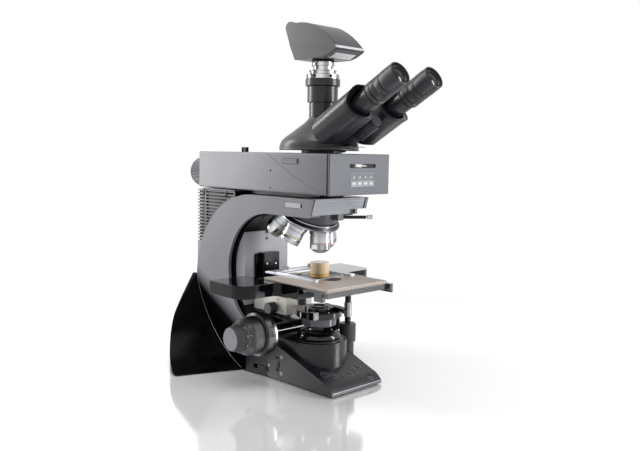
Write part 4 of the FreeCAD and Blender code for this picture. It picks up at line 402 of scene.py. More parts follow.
def plate(name, outline, thick, place, made, body, soft=0.0):
    """A flat piece: its outline is filled, given its thickness and softened at the edges."""
    piece = begin(name)
    draw([(x, y, 0) for x, y in outline])
    bpy.ops.mesh.select_all(action="SELECT")
    bpy.ops.mesh.edge_face_add()
    bpy.ops.mesh.extrude_region_move(TRANSFORM_OT_translate={"value": (0, 0, thick)})
    bpy.ops.mesh.select_all(action="SELECT")
    bpy.ops.mesh.normals_make_consistent(inside=False)
    if soft:
        bevel(piece, soft)
    return settle(piece, place, made, body)


def bent_rod(name, points, radius, place, made, body, closed=False):
    """A thin round rod along a line of points."""
    piece = begin(name)
    draw(points + points[:1] if closed else points)
    bpy.ops.object.mode_set(mode="OBJECT")
    bpy.ops.object.convert(target="CURVE")
    piece.data.bevel_depth = radius
    piece.data.bevel_resolution = 2
    piece.data.use_fill_caps = True
    bpy.ops.object.convert(target="MESH")
    return settle(piece, place, made, body)


def lettering(name, words, size, place, made, body, thick=0.08):
    """Plain printed figures, a hair above the surface."""
    bpy.ops.object.select_all(action="DESELECT")
    bpy.ops.object.text_add()
    piece = bpy.context.object
    piece.name = piece.data.name = name
    piece.data.body = words
    piece.data.size = size
    piece.data.extrude = thick
    piece.data.align_x = "CENTER"
    piece.data.align_y = "CENTER"
    bpy.ops.object.convert(target="MESH")
    return settle(piece, place, made, body)


def copied(piece, name, move, body):
    """Another of the same piece with its own mesh, moved from where the first one is."""
    other = piece.copy()
    other.data = piece.data.copy()
    other.name = other.data.name = name
    bpy.context.scene.collection.objects.link(other)
    bpy.ops.object.select_all(action="DESELECT")
    other.select_set(True)
    bpy.context.view_layer.objects.active = other
    other.matrix_world = move
    bpy.ops.object.transform_apply(location=True, rotation=True, scale=True)
    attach(other, body)
    return other


def shift(x, y, z):
    """A move by so many millimetres."""
    return Matrix.Translation((x / 1000, y / 1000, z / 1000))


def slope_height(y):
    """Height of the sloping key panel."""
    return PANEL_FOOT_Z + PANEL_RISE * (y - PANEL_FOOT_Y) / PANEL_RUN


# Painted highlights: bright rods along the slope's side edges and along the lip's lower edge stand in for
# the light those edges catch.
for side in (-1, 1):
    bent_rod(f"slope_edge_{'left' if side < 0 else 'right'}", [
        (side * 54.5, -68, 18.5), (side * 55.1, -20, 36.1), (side * 55.6, 24, 51.9)], 0.35,
        at(0, 0, 0), edge_bright, "stand")
bent_rod("front_lip_line", [(-53.5, -86.2, 6.6), (53.5, -86.2, 6.6)], 0.55, at(0, 0, 0), edge_bright,
         "stand")
for i in range(6):
    turn = (i - 2.5) * KEY_STEP
    x, y = KEY_CIRCLE * math.sin(turn), -KEY_CIRCLE * math.cos(turn)
    on_slope = at(x, y, slope_height(y), SLOPE_UP)
    if i == 0:
        key_ring = band("key_ring_1", 6.4, 6.0, 0.02, 0.14, on_slope, grey_print, "stand", 0.02, 48)
        to_first = on_slope.inverted()
    else:
        copied(key_ring, f"key_ring_{i + 1}", on_slope @ to_first, "stand")
    lettering(f"key_figure_{i + 1}", str(i + 1), 4.6, on_slope @ Matrix.Translation((0, 0, FIGURE_LIFT)),
              grey_print, f"key_{i + 1}", 0.06)
extra = at(EXTRA_KEY_X, EXTRA_KEY_Y, slope_height(EXTRA_KEY_Y) - EXTRA_KEY_SINK, SLOPE_UP)
band("key_ring_7", 6.2, 5.8, -0.1, 0.3, extra, grey_print, "stand", 0.02, 48)
band("key_mark_7", 2.4, 1.9, 0.62, 0.72, extra, grey_print, "key_7", 0.02, 32)
band("port_seat", 36.4, 34.2, 66.0, 66.9, at(0, 0, 0), edge_bright, "stand", 0.3)
high_mark, low_mark = WHEEL_MARK_Z
wheel_mark = band("wheel_mark_1", 2.6, 1.7, 0, 0.12, at(-56.05, 25.2, high_mark, OUT_LEFT, TO_FRONT),
                  white_print, "stand", 0.02, 32)
copied(wheel_mark, "wheel_mark_2", shift(0, 0, low_mark - high_mark), "stand")
scale_place = at(-56.9, 60, 20.6, OUT_LEFT, TO_FRONT)
plate("scale_wedge", [(-26, -0.2), (-4, -1.6), (-4, 1.2), (-26, 0.2)], 0.12, scale_place, white_print,
      "stand")
band("scale_ring", 1.9, 1.2, 0, 0.12, at(-56.5, 54.5, 20.4, OUT_LEFT, TO_FRONT), white_print, "stand",
     0.02, 32)
plate("scale_dot", [(-30.4, -0.9), (-28.6, -0.9), (-28.6, 0.9), (-30.4, 0.9)], 0.12, scale_place,
      white_print, "stand")

wheel_rubber = painted("wheel_rubber", tint(20, 20, 22), 0.6, grain=0.5)
_, _, wheel_turn = wheel_rubber.about(spot(-37.5, 72, 13.5), (0, 0, 1))
wheel_rubber.relief(wheel_turn.maths("SINE", wheel_turn * 90), 0.3)
dress(wheel_rubber, "brightness_wheel", "intensity_wheel")
key_black = moulded("key_black", tint(26, 27, 30), 0.42, edge=0.25)
dress(key_black, *(f"key_{i + 1}" for i in range(7)))


# Rear wings: large castings in polished black lacquer at both sides of the column foot. A thin bright
# trim strip follows the joint with the column on either side.

TRIM_R, TRIM_X = 220.0, 62.05
FOOT_Y, FOOT_Z = 115, 2
TOP_Y, TOP_Z = 245, 143
wing_lacquer = moulded("wing_lacquer", tint(2, 2, 4), 0.14, grain=3.0, depth=0.002, edge=1.2,
                       Specular_IOR_Level=0.03)
dress(wing_lacquer, "rear_wings")
trim_steel = Finish("trim_steel", tint(118, 120, 124), 0.3, 1.0)
trim_steel.shade(trim_steel.spread(trim_steel.noise(120.0, 2.0), 0.3, 0.7, 0.0, 0.4), tint(96, 98, 102))

# The strip is an arc of radius TRIM_R from its foot to its top.
run, climb = TOP_Y - FOOT_Y, TOP_Z - FOOT_Z
half = 0.5 * math.hypot(run, climb)
rise = math.sqrt(TRIM_R ** 2 - half ** 2)
trim_y = 0.5 * (TOP_Y + FOOT_Y) - rise * climb / (2 * half)
trim_z = 0.5 * (TOP_Z + FOOT_Z) + rise * run / (2 * half)
low_turn = math.atan2(FOOT_Z - trim_z, FOOT_Y - trim_y)
high_turn = math.atan2(TOP_Z - trim_z, TOP_Y - trim_y)
path = []
for i in range(41):
    turn = low_turn + (high_turn - low_turn) * (0.02 + 0.97 * i / 40)
    path.append((-TRIM_X, trim_y + TRIM_R * math.cos(turn), trim_z + TRIM_R * math.sin(turn)))
trim_strip = bent_rod("trim_strip_left", path, 0.3, at(0, 0, 0), trim_steel, "stand")
copied(trim_strip, "trim_strip_right", shift(2 * TRIM_X, 0, 0), "stand")


# Column: a cast frame between two C-shaped side panels in anthracite paint, which fades to black at the foot
# of the C, a painted shade. The front plate closes the throat, and a finned heat sink stands at the back.

# The panels' painted shade turns them black along a line that leans by these shares of height and depth.
FADE_UP, FADE_BACK = 0.876, 0.482
FIN_FACE_X, FIN_REAR_Y = 59.7, 232.0
CONE_TOP_Z = 264.6
HOLDER_TOP_Z, HOLDER_FRONT_Y, HOLDER_LEAN = 290, -44.1, 0.32
HOLDER_LINE_X = 50.4
NOTCH_Y = (163, 226)
frame_black = moulded("frame_black", tint(7, 8, 10), 0.2, Specular_IOR_Level=0.15)
anthracite = painted("anthracite", tint(116, 114, 119), 0.44, grain=0.3, depth=0.012,
                     Specular_IOR_Level=0.2)
_, panel_y, panel_z = anthracite.coordinates()
# Painted shade: below the leaning line the panels turn into a smooth black surface, faded in softly, where
# the stage wing's shadow falls.
foot_shade = anthracite.spread(panel_z * FADE_UP - panel_y * FADE_BACK, 24.0, -4.0)
anthracite.become(foot_shade, tint(3, 4, 6), 0.25, 0.05)
# The front plate's paint is a light grey, raised further as a painted highlight for the light falling on its
# face.
plate_paint = painted("plate_paint", tint(178, 176, 182), 0.46, grain=0.3, depth=0.012,
                      Specular_IOR_Level=0.35)
holder_paint = painted("holder_paint", tint(142, 144, 151), 0.4, grain=0.35, depth=0.02,
                       Specular_IOR_Level=0.4)
_, _, holder_z = holder_paint.coordinates()
# Painted shade: the holder darkens below the top of its cone, which faces downwards.
holder_paint.shade((holder_z < CONE_TOP_Z) * 0.9, tint(52, 55, 62))
sink_black = moulded("sink_black", tint(9, 9, 11), 0.4, edge=0.3, Specular_IOR_Level=0.2)
sink_x, sink_y, _ = sink_black.coordinates()
fin_face = (sink_x.maths("ABSOLUTE", sink_x) > FIN_FACE_X) * (0.35 + 0.65 * (sink_y > FIN_REAR_Y))
sink_black.shade(fin_face, tint(132, 132, 136))
dress(frame_black, "column_frame")
dress(anthracite, "side_panels")
dress(plate_paint, "column_front_plate")
dress(holder_paint, "nosepiece_holder")
dress(sink_black, "heat_sink")
deep_black = moulded("deep_black", tint(3, 3, 4), 0.35, Specular_IOR_Level=0.1)
sink_cover = painted("sink_cover_paint", tint(112, 111, 116), 0.45)


def block(name, x0, x1, y0, y1, z0, z1, made, body, soft=0.3):
    """A squared block between six levels, its edges softened."""
    return plate(name, [(x0, y0), (x1, y0), (x1, y1), (x0, y1)], z1 - z0, at(0, 0, z0), made, body, soft)


block("sink_cover", -60.5, 60.5, 141, 231, 292.9, 295.1, sink_cover, "stand", 0.4)
# Painted shade: a deep black block inside the fins makes the gaps between them dark.
block("sink_shade_block", -57.5, 57.5, 150, 243, 190, 291, deep_black, "stand", 0.4)
near_y, far_y = NOTCH_Y
sink_notch = block("sink_notch_1", -60.8, -56, near_y - 1.5, near_y + 1.5, 284, 292.4, frame_black,
                   "stand", 0.2)
copied(sink_notch, "sink_notch_2", shift(0, far_y - near_y, 0), "stand")
turned("plate_screw", [(0, 0), (2.5, 0), (2.5, 0.9), (2.0, 1.3), (1.2, 1.3), (1.2, 0.6), (0, 0.6)],
       at(0, 129.9, 223.5, TO_FRONT), frame_black, "stand", 32)
block("holder_slot_cap", -54.3, -52, -25.5, -21.6, 276, 282.6, frame_black, "stand", 0.2)
# Painted highlight: a pale rod along the holder's front edges.
holder_line = moulded("holder_line", tint(200, 202, 208), 0.35, edge=0.05)
around = []
for x, z in ((-HOLDER_LINE_X, 264.0), (-HOLDER_LINE_X, 285.8), (HOLDER_LINE_X, 285.8)):
    around.append((x, HOLDER_FRONT_Y + (HOLDER_TOP_Z - z) * HOLDER_LEAN, z))
bent_rod("holder_front_line", around, 0.3, at(0, 0, 0), holder_line, "stand")


# Illuminator box: two sheet covers and a front panel in the same paint, the front a little bluer, with
# the lamp drum behind, two slider slots, a display slot and a printed key field.

JOINT_X = 64.62
GLINT_X, GLINT_Z = 9, 339.9
FIELD_X, FIELD_Y, FIELD_Z = 5.4, -82.52, 319.6
FIELD_W, FIELD_H = 49.5, 19.4
FIELD_PITCH = FIELD_W / 4
box_paint = painted("box_paint", tint(120, 118, 123), 0.44, grain=0.3, depth=0.012,
                    Specular_IOR_Level=0.4)
_, box_y, _ = box_paint.coordinates()
# Painted shade: the covers darken towards the front, away from the left lamp.
box_paint.shade(box_paint.spread(box_y, 150.0, -80.0, 0.0, 0.9), tint(70, 70, 75))
front_paint = painted("front_paint", tint(82, 85, 93), 0.42, grain=0.35, depth=0.03,
                      Specular_IOR_Level=0.3)
lamp_paint = moulded("lamp_paint", tint(58, 58, 61), 0.4)
_, _, drum_turn = lamp_paint.about(spot(0, 300, 320), (0, 1, 0))
lamp_paint.relief(drum_turn.maths("SINE", drum_turn * 60), 0.5)
slider_dark = moulded("slider_dark", tint(78, 78, 81), 0.45)
slider_light = moulded("slider_light", tint(150, 150, 156), 0.42)
dress(box_paint, "illuminator_rear_cover", "illuminator_front_cover")
dress(front_paint, "illuminator_front_panel")
dress(lamp_paint, "lamp_housing")
dress(slider_dark, "upper_slider")
dress(slider_light, "lower_slider")
front_joint = block("front_joint_left", -JOINT_X, 1 - JOINT_X, -79.3, -76.7, 297.0, 357.2, deep_black,
                    "stand", 0.1)
copied(front_joint, "front_joint_right", shift(2 * JOINT_X - 1, 0, 0), "stand")
# Painted shade: a black plate deep in each slider's pocket.
for name, body, face, y0, z0, z1 in (("upper", "upper_slider", 64.4, -18.7, 341.2, 349.0),
                                     ("lower", "lower_slider", 62.0, -26.0, 275.5, 283.1)):
    block(f"{name}_slider_pocket", -face + 0.5, -face + 2.0, y0 + 0.4, y0 + 5.4, z0 + 0.3, z1 - 0.3,
          deep_black, body, 0.1)
cover_screw = turned("cover_screw_1", [(0, 0), (1.5, 0), (1.5, 0.5), (0.8, 0.5), (0.8, 0.1), (0, 0.1)],
                     at(-64.0, 46, 303.7, OUT_LEFT), deep_black, "stand", 24)
copied(cover_screw, "cover_screw_2", shift(0, 0, 25.9), "stand")
top_post = turned("top_post_1", [
    (0, 357.4), (3.0, 357.4), (3.0, 364.6), (2.5, 365.2), (1.4, 365.2), (1.4, 364.6), (0, 364.6)],
    at(-38, 137.4, 0), frame_black, "stand", 32)
copied(top_post, "top_post_2", shift(0, 9.2, 0), "stand")
display_glass = moulded("display_glass", tint(6, 7, 9), 0.12, edge=0.1)
glass_x, _, glass_z = display_glass.coordinates()
glint_x = (glass_x - GLINT_X) * 0.13
glint_z = (glass_z - GLINT_Z) * 0.8
glint = glint_x * glint_x + glint_z * glint_z
display_glass.shade(display_glass.spread(glint, 1.0, 0.0, 0.0, 0.85), tint(225, 226, 228))
block("display_window", -22.4, 32.6, -81.4, -80.0, 337.2, 342.6, display_glass, "stand", 0.2)
field_print = moulded("field_print", tint(196, 198, 203), 0.45, edge=0.05)
pale_field = moulded("pale_field", tint(158, 160, 165), 0.45, edge=0.05)
field = at(FIELD_X, FIELD_Y, FIELD_Z, TO_FRONT)
half_w, half_h = FIELD_W / 2, FIELD_H / 2
bent_rod("key_field_frame", [(-half_w, -half_h, 0), (half_w, -half_h, 0), (half_w, half_h, 0),
                             (-half_w, half_h, 0)], 0.32, field, field_print, "stand", closed=True)
bent_rod("key_field_middle", [(-half_w, -1.5, 0), (half_w, -1.5, 0)], 0.2, field, field_print, "stand")
field_line = bent_rod("key_field_line_1", [(-FIELD_PITCH, -half_h, 0), (-FIELD_PITCH, half_h, 0)], 0.18,
                      field, field_print, "stand")
for i in (1, 2):
    copied(field_line, f"key_field_line_{i + 1}", shift(i * FIELD_PITCH, 0, 0), "stand")
for i in range(4):
    x = (i - 1.5) * FIELD_PITCH
    along = shift(i * FIELD_PITCH, 0, 0)
    if i == 0:
        symbol = bent_rod("field_symbol_1", [
            (x - 3.2, 1.3, 0), (x + 3.2, 1.3, 0), (x + 3.2, 7.0, 0), (x - 3.2, 7.0, 0)], 0.28, field,
            field_print, "stand", closed=True)
        core = plate("field_core_1", [(x - 1.1, 3.0), (x + 1.1, 3.0), (x + 1.1, 5.2), (x - 1.1, 5.2)],
                     0.1, field, field_print, "stand")
        patch = plate("field_patch_1", [(x - 4.9, -8.6), (x + 4.9, -8.6), (x + 4.9, -2.6), (x - 4.9, -2.6)],
                      0.05, field, pale_field, "stand")
    else:
        copied(symbol, f"field_symbol_{i + 1}", along, "stand")
        copied(core, f"field_core_{i + 1}", along, "stand")
        copied(patch, f"field_patch_{i + 1}", along, "stand")
    plate(f"field_dash_{i + 1}", [
        (x - 2.6 + 0.5 * i, -6.4), (x + 2.6, -6.4), (x + 2.6 - 0.4 * i, -4.8), (x - 2.6, -4.8)], 0.12,
        field, field_print, "stand")


# Nosepiece: a turret with a knurled black grip between chrome faces, and five objectives screwed into
# it. Each has a satin barrel, a ring in the colour of its power and a polished lower end.

TILT = math.radians(24.3)
TURRET_AXIS = Vector((0, -math.sin(TILT), math.cos(TILT)))
APEX_Y, APEX_Z = 35.6, 235
TURRET_APEX = spot(0, APEX_Y, APEX_Z)
GRIP_LOW, GRIP_HIGH = 24.9, 28.9
SEAT_Z = 232.5
STRAIGHT_DOWN = (0, 0, -1)
ROD_AXIS = (0.839, -0.545, 0)
ROD_LENGTH = 43.6


def lathe_metal(name, colour, rough, base, axis, ring=0.6, depth=0.001, reflection_streaks=0.0):
    """Turned metal: fine tool rings about an axis through base, smears in the gloss, painted dark reflection
    streaks by angle.
    """
    made = Finish(name, colour, rough, 1.0)
    made.soft_edges(0.25)
    along, radius, turn = made.about(base, axis)
    both = made.add("ShaderNodeCombineXYZ", {}, {"X": along, "Y": radius})
    rings = made.noise(1 / ring, 2.0, both)
    smear = made.noise(60.0, 3.0)
    made.shade(made.spread(rings, 0.35, 0.7, 0.0, 0.4), varied(colour, -0.1))
    # Painted reflection: dark streaks by angle round the axis, as dark surroundings would mirror in the
    # metal.
    if reflection_streaks:
        around = made.add("ShaderNodeCombineXYZ", {}, {
            "X": turn.maths("COSINE", turn), "Y": turn.maths("SINE", turn), "Z": 0.3})
        dark_reflection = made.noise(1.9, 0.0, around)
        made.shade(made.spread(dark_reflection, 0.4, 0.72, 0.0, reflection_streaks), varied(colour, -0.92))
    made.roughen(made.spread(smear, 0.35, 0.7, -0.04, 0.06))
    made.relief(rings, depth)
    return made


turret_metal = lathe_metal("turret_metal", tint(190, 192, 197), 0.24, TURRET_APEX, TURRET_AXIS, reflection_streaks=0.7)
turret_d, _, _ = turret_metal.about(TURRET_APEX, TURRET_AXIS)
grip = (turret_d > GRIP_LOW) * (turret_d < GRIP_HIGH)
turret_metal.shade(grip, tint(16, 16, 19))
turret_metal.set(Metallic=1 - grip)
dress(turret_metal, "turret")
grip_black = moulded("grip_black", tint(20, 20, 23), 0.35, edge=0.1)


def toothed(name, low_r, high_r, teeth, depth, low, high, place, made, body):
    """A knurled ring: a toothed outline given its width, and drawn in or out at its far end."""
    piece = begin(name)
    count = 2 * teeth
    outline = []
    for i in range(count):
        turn = math.tau * i / count
        radius = low_r - depth * (i % 2)
        outline.append((radius * math.cos(turn), radius * math.sin(turn), low))
    draw(outline)
    bpy.ops.mesh.select_all(action="SELECT")
    bpy.ops.mesh.edge_face_add()
    bpy.ops.mesh.extrude_region_move(TRANSFORM_OT_translate={"value": (0, 0, high - low)})
    share = high_r / low_r
    bpy.ops.transform.resize(value=(share, share, 1), center_override=(0, 0, 0))
    bpy.ops.mesh.select_all(action="SELECT")
    bpy.ops.mesh.normals_make_consistent(inside=False)
    return settle(piece, place, made, body)


turret_place = at(0, APEX_Y, APEX_Z, TURRET_AXIS)
toothed("turret_grip", 50.1, 46.2, 110, 0.5, 25.0, 28.7, turret_place, grip_black, "revolver")
# Each has its ring's colour, then where the ring and the polished end begin and end below the seat.
OBJECTIVES = {
    "objective_red": (tint(196, 40, 52), 14.4, 15.2, 16.2, 23.4),
    "objective_blue": (tint(60, 110, 190), 14.8, 15.6, 20.0, 28.8),
    "objective_white": (tint(235, 235, 235), 13.6, 14.4, 16.0, 20.8),
    "objective_green": (tint(70, 150, 80), 12.8, 13.6, 20.5, 29.8),
    "objective_yellow": (tint(214, 204, 60), 14.8, 15.6, 16.8, 20.4),
}
for i, (name, (ring_colour, ring_low, ring_high, shine_low, shine_high)) in enumerate(OBJECTIVES.items()):
    swing = (
        Matrix.Translation(TURRET_APEX) @ Matrix.Rotation(i * math.tau / 5, 4, TURRET_AXIS)
        @ Matrix.Translation(-TURRET_APEX)
    )
    place = swing @ at(0, 0, SEAT_Z, STRAIGHT_DOWN)
    foot = place.translation
    down = (place.to_3x3() @ Vector((0, 0, 1))).normalized()
    barrel = lathe_metal(f"{name}_barrel", tint(208, 209, 213), 0.32, foot, down, reflection_streaks=0.45)
    shine = lathe_metal(f"{name}_shine", tint(224, 225, 228), 0.12, foot, down, depth=0.0004, reflection_streaks=1.0)
    paint = moulded(f"{name}_paint", ring_colour, 0.4, edge=0.1)
    dress(barrel, name)
    band(f"{name}_ring", 16.1, 15.4, ring_low + 0.02, ring_high - 0.02, place, paint, "revolver", 0.1)
    band(f"{name}_polish", 16.26, 15.0, shine_low, shine_high, place, shine, "revolver", 0.25)
    for j, depth in enumerate((5.9, ring_high + 0.9)):
        line_at = place @ Matrix.Translation((0, 0, depth))
        if i == j == 0:
            line = band(f"{name}_line_1", 16.23, 15.6, 0, 0.25, line_at, grip_black, "revolver", 0.05)
            to_first = line_at.inverted()
        else:
            copied(line, f"{name}_line_{j + 1}", line_at @ to_first, "revolver")
lens_gold = lathe_metal("lens_gold", tint(206, 160, 84), 0.3, spot(0, 0, 200), (0, 0, 1), reflection_streaks=0.5)
turned("front_lens_mount", [
    (0, 27.4), (8.3, 27.4), (8.3, 28.8), (7.4, 29.9), (4.0, 29.9), (3.6, 29.2), (0, 29.2)],
    at(0, 0, SEAT_Z, STRAIGHT_DOWN), lens_gold, "revolver")
rod_start = spot(12, -27, 259.5)
slider_steel = lathe_metal("slider_steel", tint(200, 200, 202), 0.3, rod_start, ROD_AXIS, 0.18, 0.012)
rod_along, _, rod_turn = slider_steel.about(rod_start, ROD_AXIS)
rod = rod_along < ROD_LENGTH
slider_steel.shade(rod, tint(46, 46, 48))
knurl = rod_along.maths("SINE", rod_along * 6) + rod_turn.maths("SINE", rod_turn * 14)
slider_steel.relief(rod * knurl, 0.06)
dress(slider_steel, "nose_slider")


# Stage: a black lacquered lower plate with two wings, the Y carriage on its rods and the coated top
# plate. A bright holder with two clamp screws lies on it round the embedded specimen.

RESIN_LINE_Z, RESIN_TOP_Z = 169.4, 187.2
INSERT_EDGE_Z, PLATE_EDGE_Z = 165.1, 164.6
POST_X, POST_Y = 76.5, 10
SLEEVE_LOW_Z, SLEEVE_HIGH_Z, SLEEVE_R = 87.5, 112.5, 7.5
stage_black = moulded("stage_black", tint(3, 4, 9), 0.03, grain=3.0, depth=0.0005, edge=1.4,
                      Specular_IOR_Level=0.12)
stage_black.set(Coat_Weight=1.0, Coat_Roughness=0.01, Coat_IOR=1.25)
rail_black = moulded("rail_black", tint(30, 32, 37), 0.2, edge=0.6, Specular_IOR_Level=0.8)
rail_black.set(Coat_Weight=0.8, Coat_Roughness=0.1)
carrier_black = moulded("carrier_black", tint(6, 7, 9), 0.22, Specular_IOR_Level=0.16)
stage_coating = painted("stage_coating", tint(150, 138, 127), 0.4, grain=0.4, depth=0.008, edge=0.35)
insert_black = moulded("insert_black", tint(14, 14, 15), 0.35)
holder_steel = moulded("holder_steel", tint(178, 180, 185), 0.36, depth=0.0005, metal=1.0, edge=0.3)
grain_x, grain_y, _ = holder_steel.coordinates()
brushing = holder_steel.noise(9.0, 3.0, holder_steel.add("ShaderNodeCombineXYZ", {}, {
    "X": grain_x * 0.5, "Y": grain_y * 0.02}))
holder_steel.roughen(holder_steel.spread(brushing, 0.35, 0.65, -0.03, 0.05))
specimen_resin = moulded("specimen_resin", tint(226, 200, 160), 0.25, edge=0.4)
_, _, resin_z = specimen_resin.coordinates()
mould_line = specimen_resin.noise(240.0, 3.0) * 2.4 + RESIN_LINE_Z
specimen_resin.shade(resin_z < mould_line, tint(206, 166, 96))
specimen_resin.shade((resin_z < 168.6) * (specimen_resin.noise(420.0, 2.0) > 0.5), tint(240, 202, 108))
specimen_resin.shade(resin_z > RESIN_TOP_Z, tint(232, 226, 214))
dress(stage_black, "stage_lower_plate")
dress(carrier_black, "stage_carrier")
dress(rail_black, "stage_middle_plate")
dress(stage_coating, "stage_top_plate")
dress(insert_black, "stage_insert")
dress(holder_steel, "specimen_holder")
dress(specimen_resin, "specimen")
screw_steel = lathe_metal("screw_steel", tint(215, 216, 218), 0.22, spot(0, 116, 171.5), (0, 1, 0),
                          0.18, 0.012)
SCREW_HEAD = [(0, 0), (2.0, 0), (2.0, 0.8), (1.5, 1.2), (0.9, 1.2), (0.7, 0.7), (0, 0.7)]
screw_place = at(-10.4, 116.1, 171.8, TO_FRONT)
first_screw = turned("carrier_screw_1", SCREW_HEAD, screw_place, screw_steel, "stage_lift", 32)
copied(first_screw, "carrier_screw_2", shift(19, 0, -0.6), "stage_lift")
block("recess_frame_left", -25.6, -24.2, 126.5, 129.9, 134.5, 187, deep_black, "stand", 0.2)
block("holder_rail_outer", -44.8, -43.4, -33, 74, 167.5, 168.3, holder_steel, "stage_x", 0.2)
block("holder_rail_inner", -38.6, -37.0, -33, 58, 167.5, 168.5, holder_steel, "stage_x", 0.2)
block("holder_rail_rear", -35, 36, 61, 62.6, 167.5, 168.4, holder_steel, "stage_x", 0.2)
block("holder_seat", -34.6, -14.5, 26, 40, 166.2, 168.0, holder_steel, "stage_x", 0.3)
bent_rod("insert_edge", [
    (-30.6, -21.6, INSERT_EDGE_Z), (33.6, -21.6, INSERT_EDGE_Z), (33.6, 31.6, INSERT_EDGE_Z),
    (-30.6, 31.6, INSERT_EDGE_Z)], 0.28, at(0, 0, 0), holder_steel, "stage_x", closed=True)
# Painted highlights: light rods along the top plate's front and left edges.
top_edge_highlight = moulded("top_edge_highlight", tint(205, 198, 190), 0.3, edge=0.1)
bent_rod("top_plate_front_highlight", [(-74.4, -92.9, PLATE_EDGE_Z), (52.4, -92.9, PLATE_EDGE_Z)], 0.3,
         at(0, 0, 0), top_edge_highlight, "stage_x")
bent_rod("top_plate_left_edge", [(-74.9, -92.4, PLATE_EDGE_Z), (-74.9, 45, PLATE_EDGE_Z)], 0.3,
         at(0, 0, 0), top_edge_highlight, "stage_x")

post_finish = moulded("post_finish", tint(9, 9, 12), 0.25, Specular_IOR_Level=0.3)
post_z, post_r, _ = post_finish.about(spot(POST_X, POST_Y, 0), (0, 0, 1))
sleeve = (post_z > SLEEVE_LOW_Z) * (post_z < SLEEVE_HIGH_Z) * (post_r < SLEEVE_R)
post_finish.shade(sleeve, tint(150, 151, 154))
post_finish.set(Metallic=sleeve)
knob_black = painted("knob_black", tint(40, 41, 45), 0.4, grain=0.4, depth=0.012, Specular_IOR_Level=0.5)
dress(post_finish, "xy_post")
dress(knob_black, "y_knob", "x_knob")
post_place = at(POST_X, POST_Y, 0)
toothed("y_knob_grip", 13.8, 13.8, 48, 0.4, 49, 75, post_place, knob_black, "y_drive")
toothed("x_knob_grip", 10.8, 10.8, 40, 0.4, 21, 43, post_place, knob_black, "x_drive")


# Focus drive: a glossy cross tube through the base with a torque ring, a coarse knob and a graduated
# fine knob on its left end, all black moulded and knurled, and a flat knob on the right.

FOCUS_Y, FOCUS_Z = 40, 79.3
COLLAR_END = 83.2
TICK_START, TICK_END, TICK_R = 124.9, 126.0, 22.6
FACE_START, FACE_R = 144.4, 17.0
DIAL_X, DIAL_R, DIAL_STEP = 128.3, 22.85, 36
gloss_black = moulded("gloss_black", tint(4, 5, 8), 0.12, grain=3.0, depth=0.0006, edge=0.6,
                      Specular_IOR_Level=0.5)
focus_centre = spot(0, FOCUS_Y, FOCUS_Z)
focus_place = at(0, FOCUS_Y, FOCUS_Z, OUT_LEFT, TO_FRONT)
torque_finish = moulded("torque_finish", tint(24, 25, 28), 0.3, edge=0.5, Specular_IOR_Level=0.4)
torque_along, _, _ = torque_finish.about(focus_centre, OUT_LEFT)
collar_bright = torque_along < COLLAR_END
torque_finish.shade(collar_bright, tint(128, 129, 132))
torque_finish.set(Metallic=collar_bright)
dress(gloss_black, "focus_housing")
dress(torque_finish, "torque_ring")
dress(knob_black, "coarse_knob", "focus_shaft")
toothed("torque_grip", 33.9, 33.9, 110, 0.45, 86.5, 97.0, focus_place, torque_finish, "torque_ring")
toothed("coarse_grip", 28.7, 28.7, 100, 0.45, 100.5, 117.0, focus_place, knob_black, "coarse_drive")
fine_finish = painted("fine_finish", tint(30, 30, 33), 0.45, grain=0.4, depth=0.015, edge=0.4)
fine_along, fine_r, fine_turn = fine_finish.about(focus_centre, OUT_LEFT)
tick_width = fine_turn.maths("COSINE", fine_turn * 50) > 0.9
ticks = tick_width * (fine_along > TICK_START) * (fine_along < TICK_END)
fine_finish.shade(ticks * (fine_r > TICK_R), tint(215, 215, 217))
face = (fine_along > FACE_START) * (fine_r < FACE_R)
fine_finish.shade(face, tint(108, 109, 113))
fine_finish.shade(face * (fine_r < 4.6) * (fine_r > 4.2), tint(130, 131, 134))
dress(fine_finish, "fine_knob")
toothed("fine_grip", 21.6, 18.3, 60, 0.35, 131.5, 142.5, focus_place, fine_finish, "fine_drive")
dial_print = moulded("dial_print", tint(228, 228, 230), 0.45, edge=0.05)
block("index_line", -124.72, -124.4, 13.2, 16.8, 86.7, 87.3, dial_print, "coarse_drive", 0.05)
for i in range(10):
    turn = math.radians(DIAL_STEP * i + 20)
    back, up = math.cos(turn), math.sin(turn)
    figure_at = at(-DIAL_X, FOCUS_Y + DIAL_R * back, FOCUS_Z + DIAL_R * up, (0.35, back, up), (0, up, -back))
    lettering(f"dial_figure_{i + 1}", str(10 * i), 3.3, figure_at, dial_print, "fine_drive", 0.08)


# Condenser: a cream bracket on the stage carrier with a ribbed height knob, and the black condenser with
# its clamp block, a barrel painted grey as a painted highlight on its black gloss, and a curved aperture
# lever.
# Below it the port ring holds the frosted glass.

BARREL_TOP_Z = 101.8
CLAMP_FACE_Y = -25.4
TAB_AXIS = Vector((0.717, -0.697, 0))
TAB_R, TAB_Z = 25.0, 76.0
bracket_cream = painted("bracket_cream", tint(238, 235, 224), 0.42, grain=0.5, depth=0.015, edge=0.4)
condenser_finish = moulded("condenser_finish", tint(5, 6, 9), 0.13, grain=3.0, depth=0.0006, edge=0.6,
                           Specular_IOR_Level=0.6)
_, _, condenser_z = condenser_finish.coordinates()
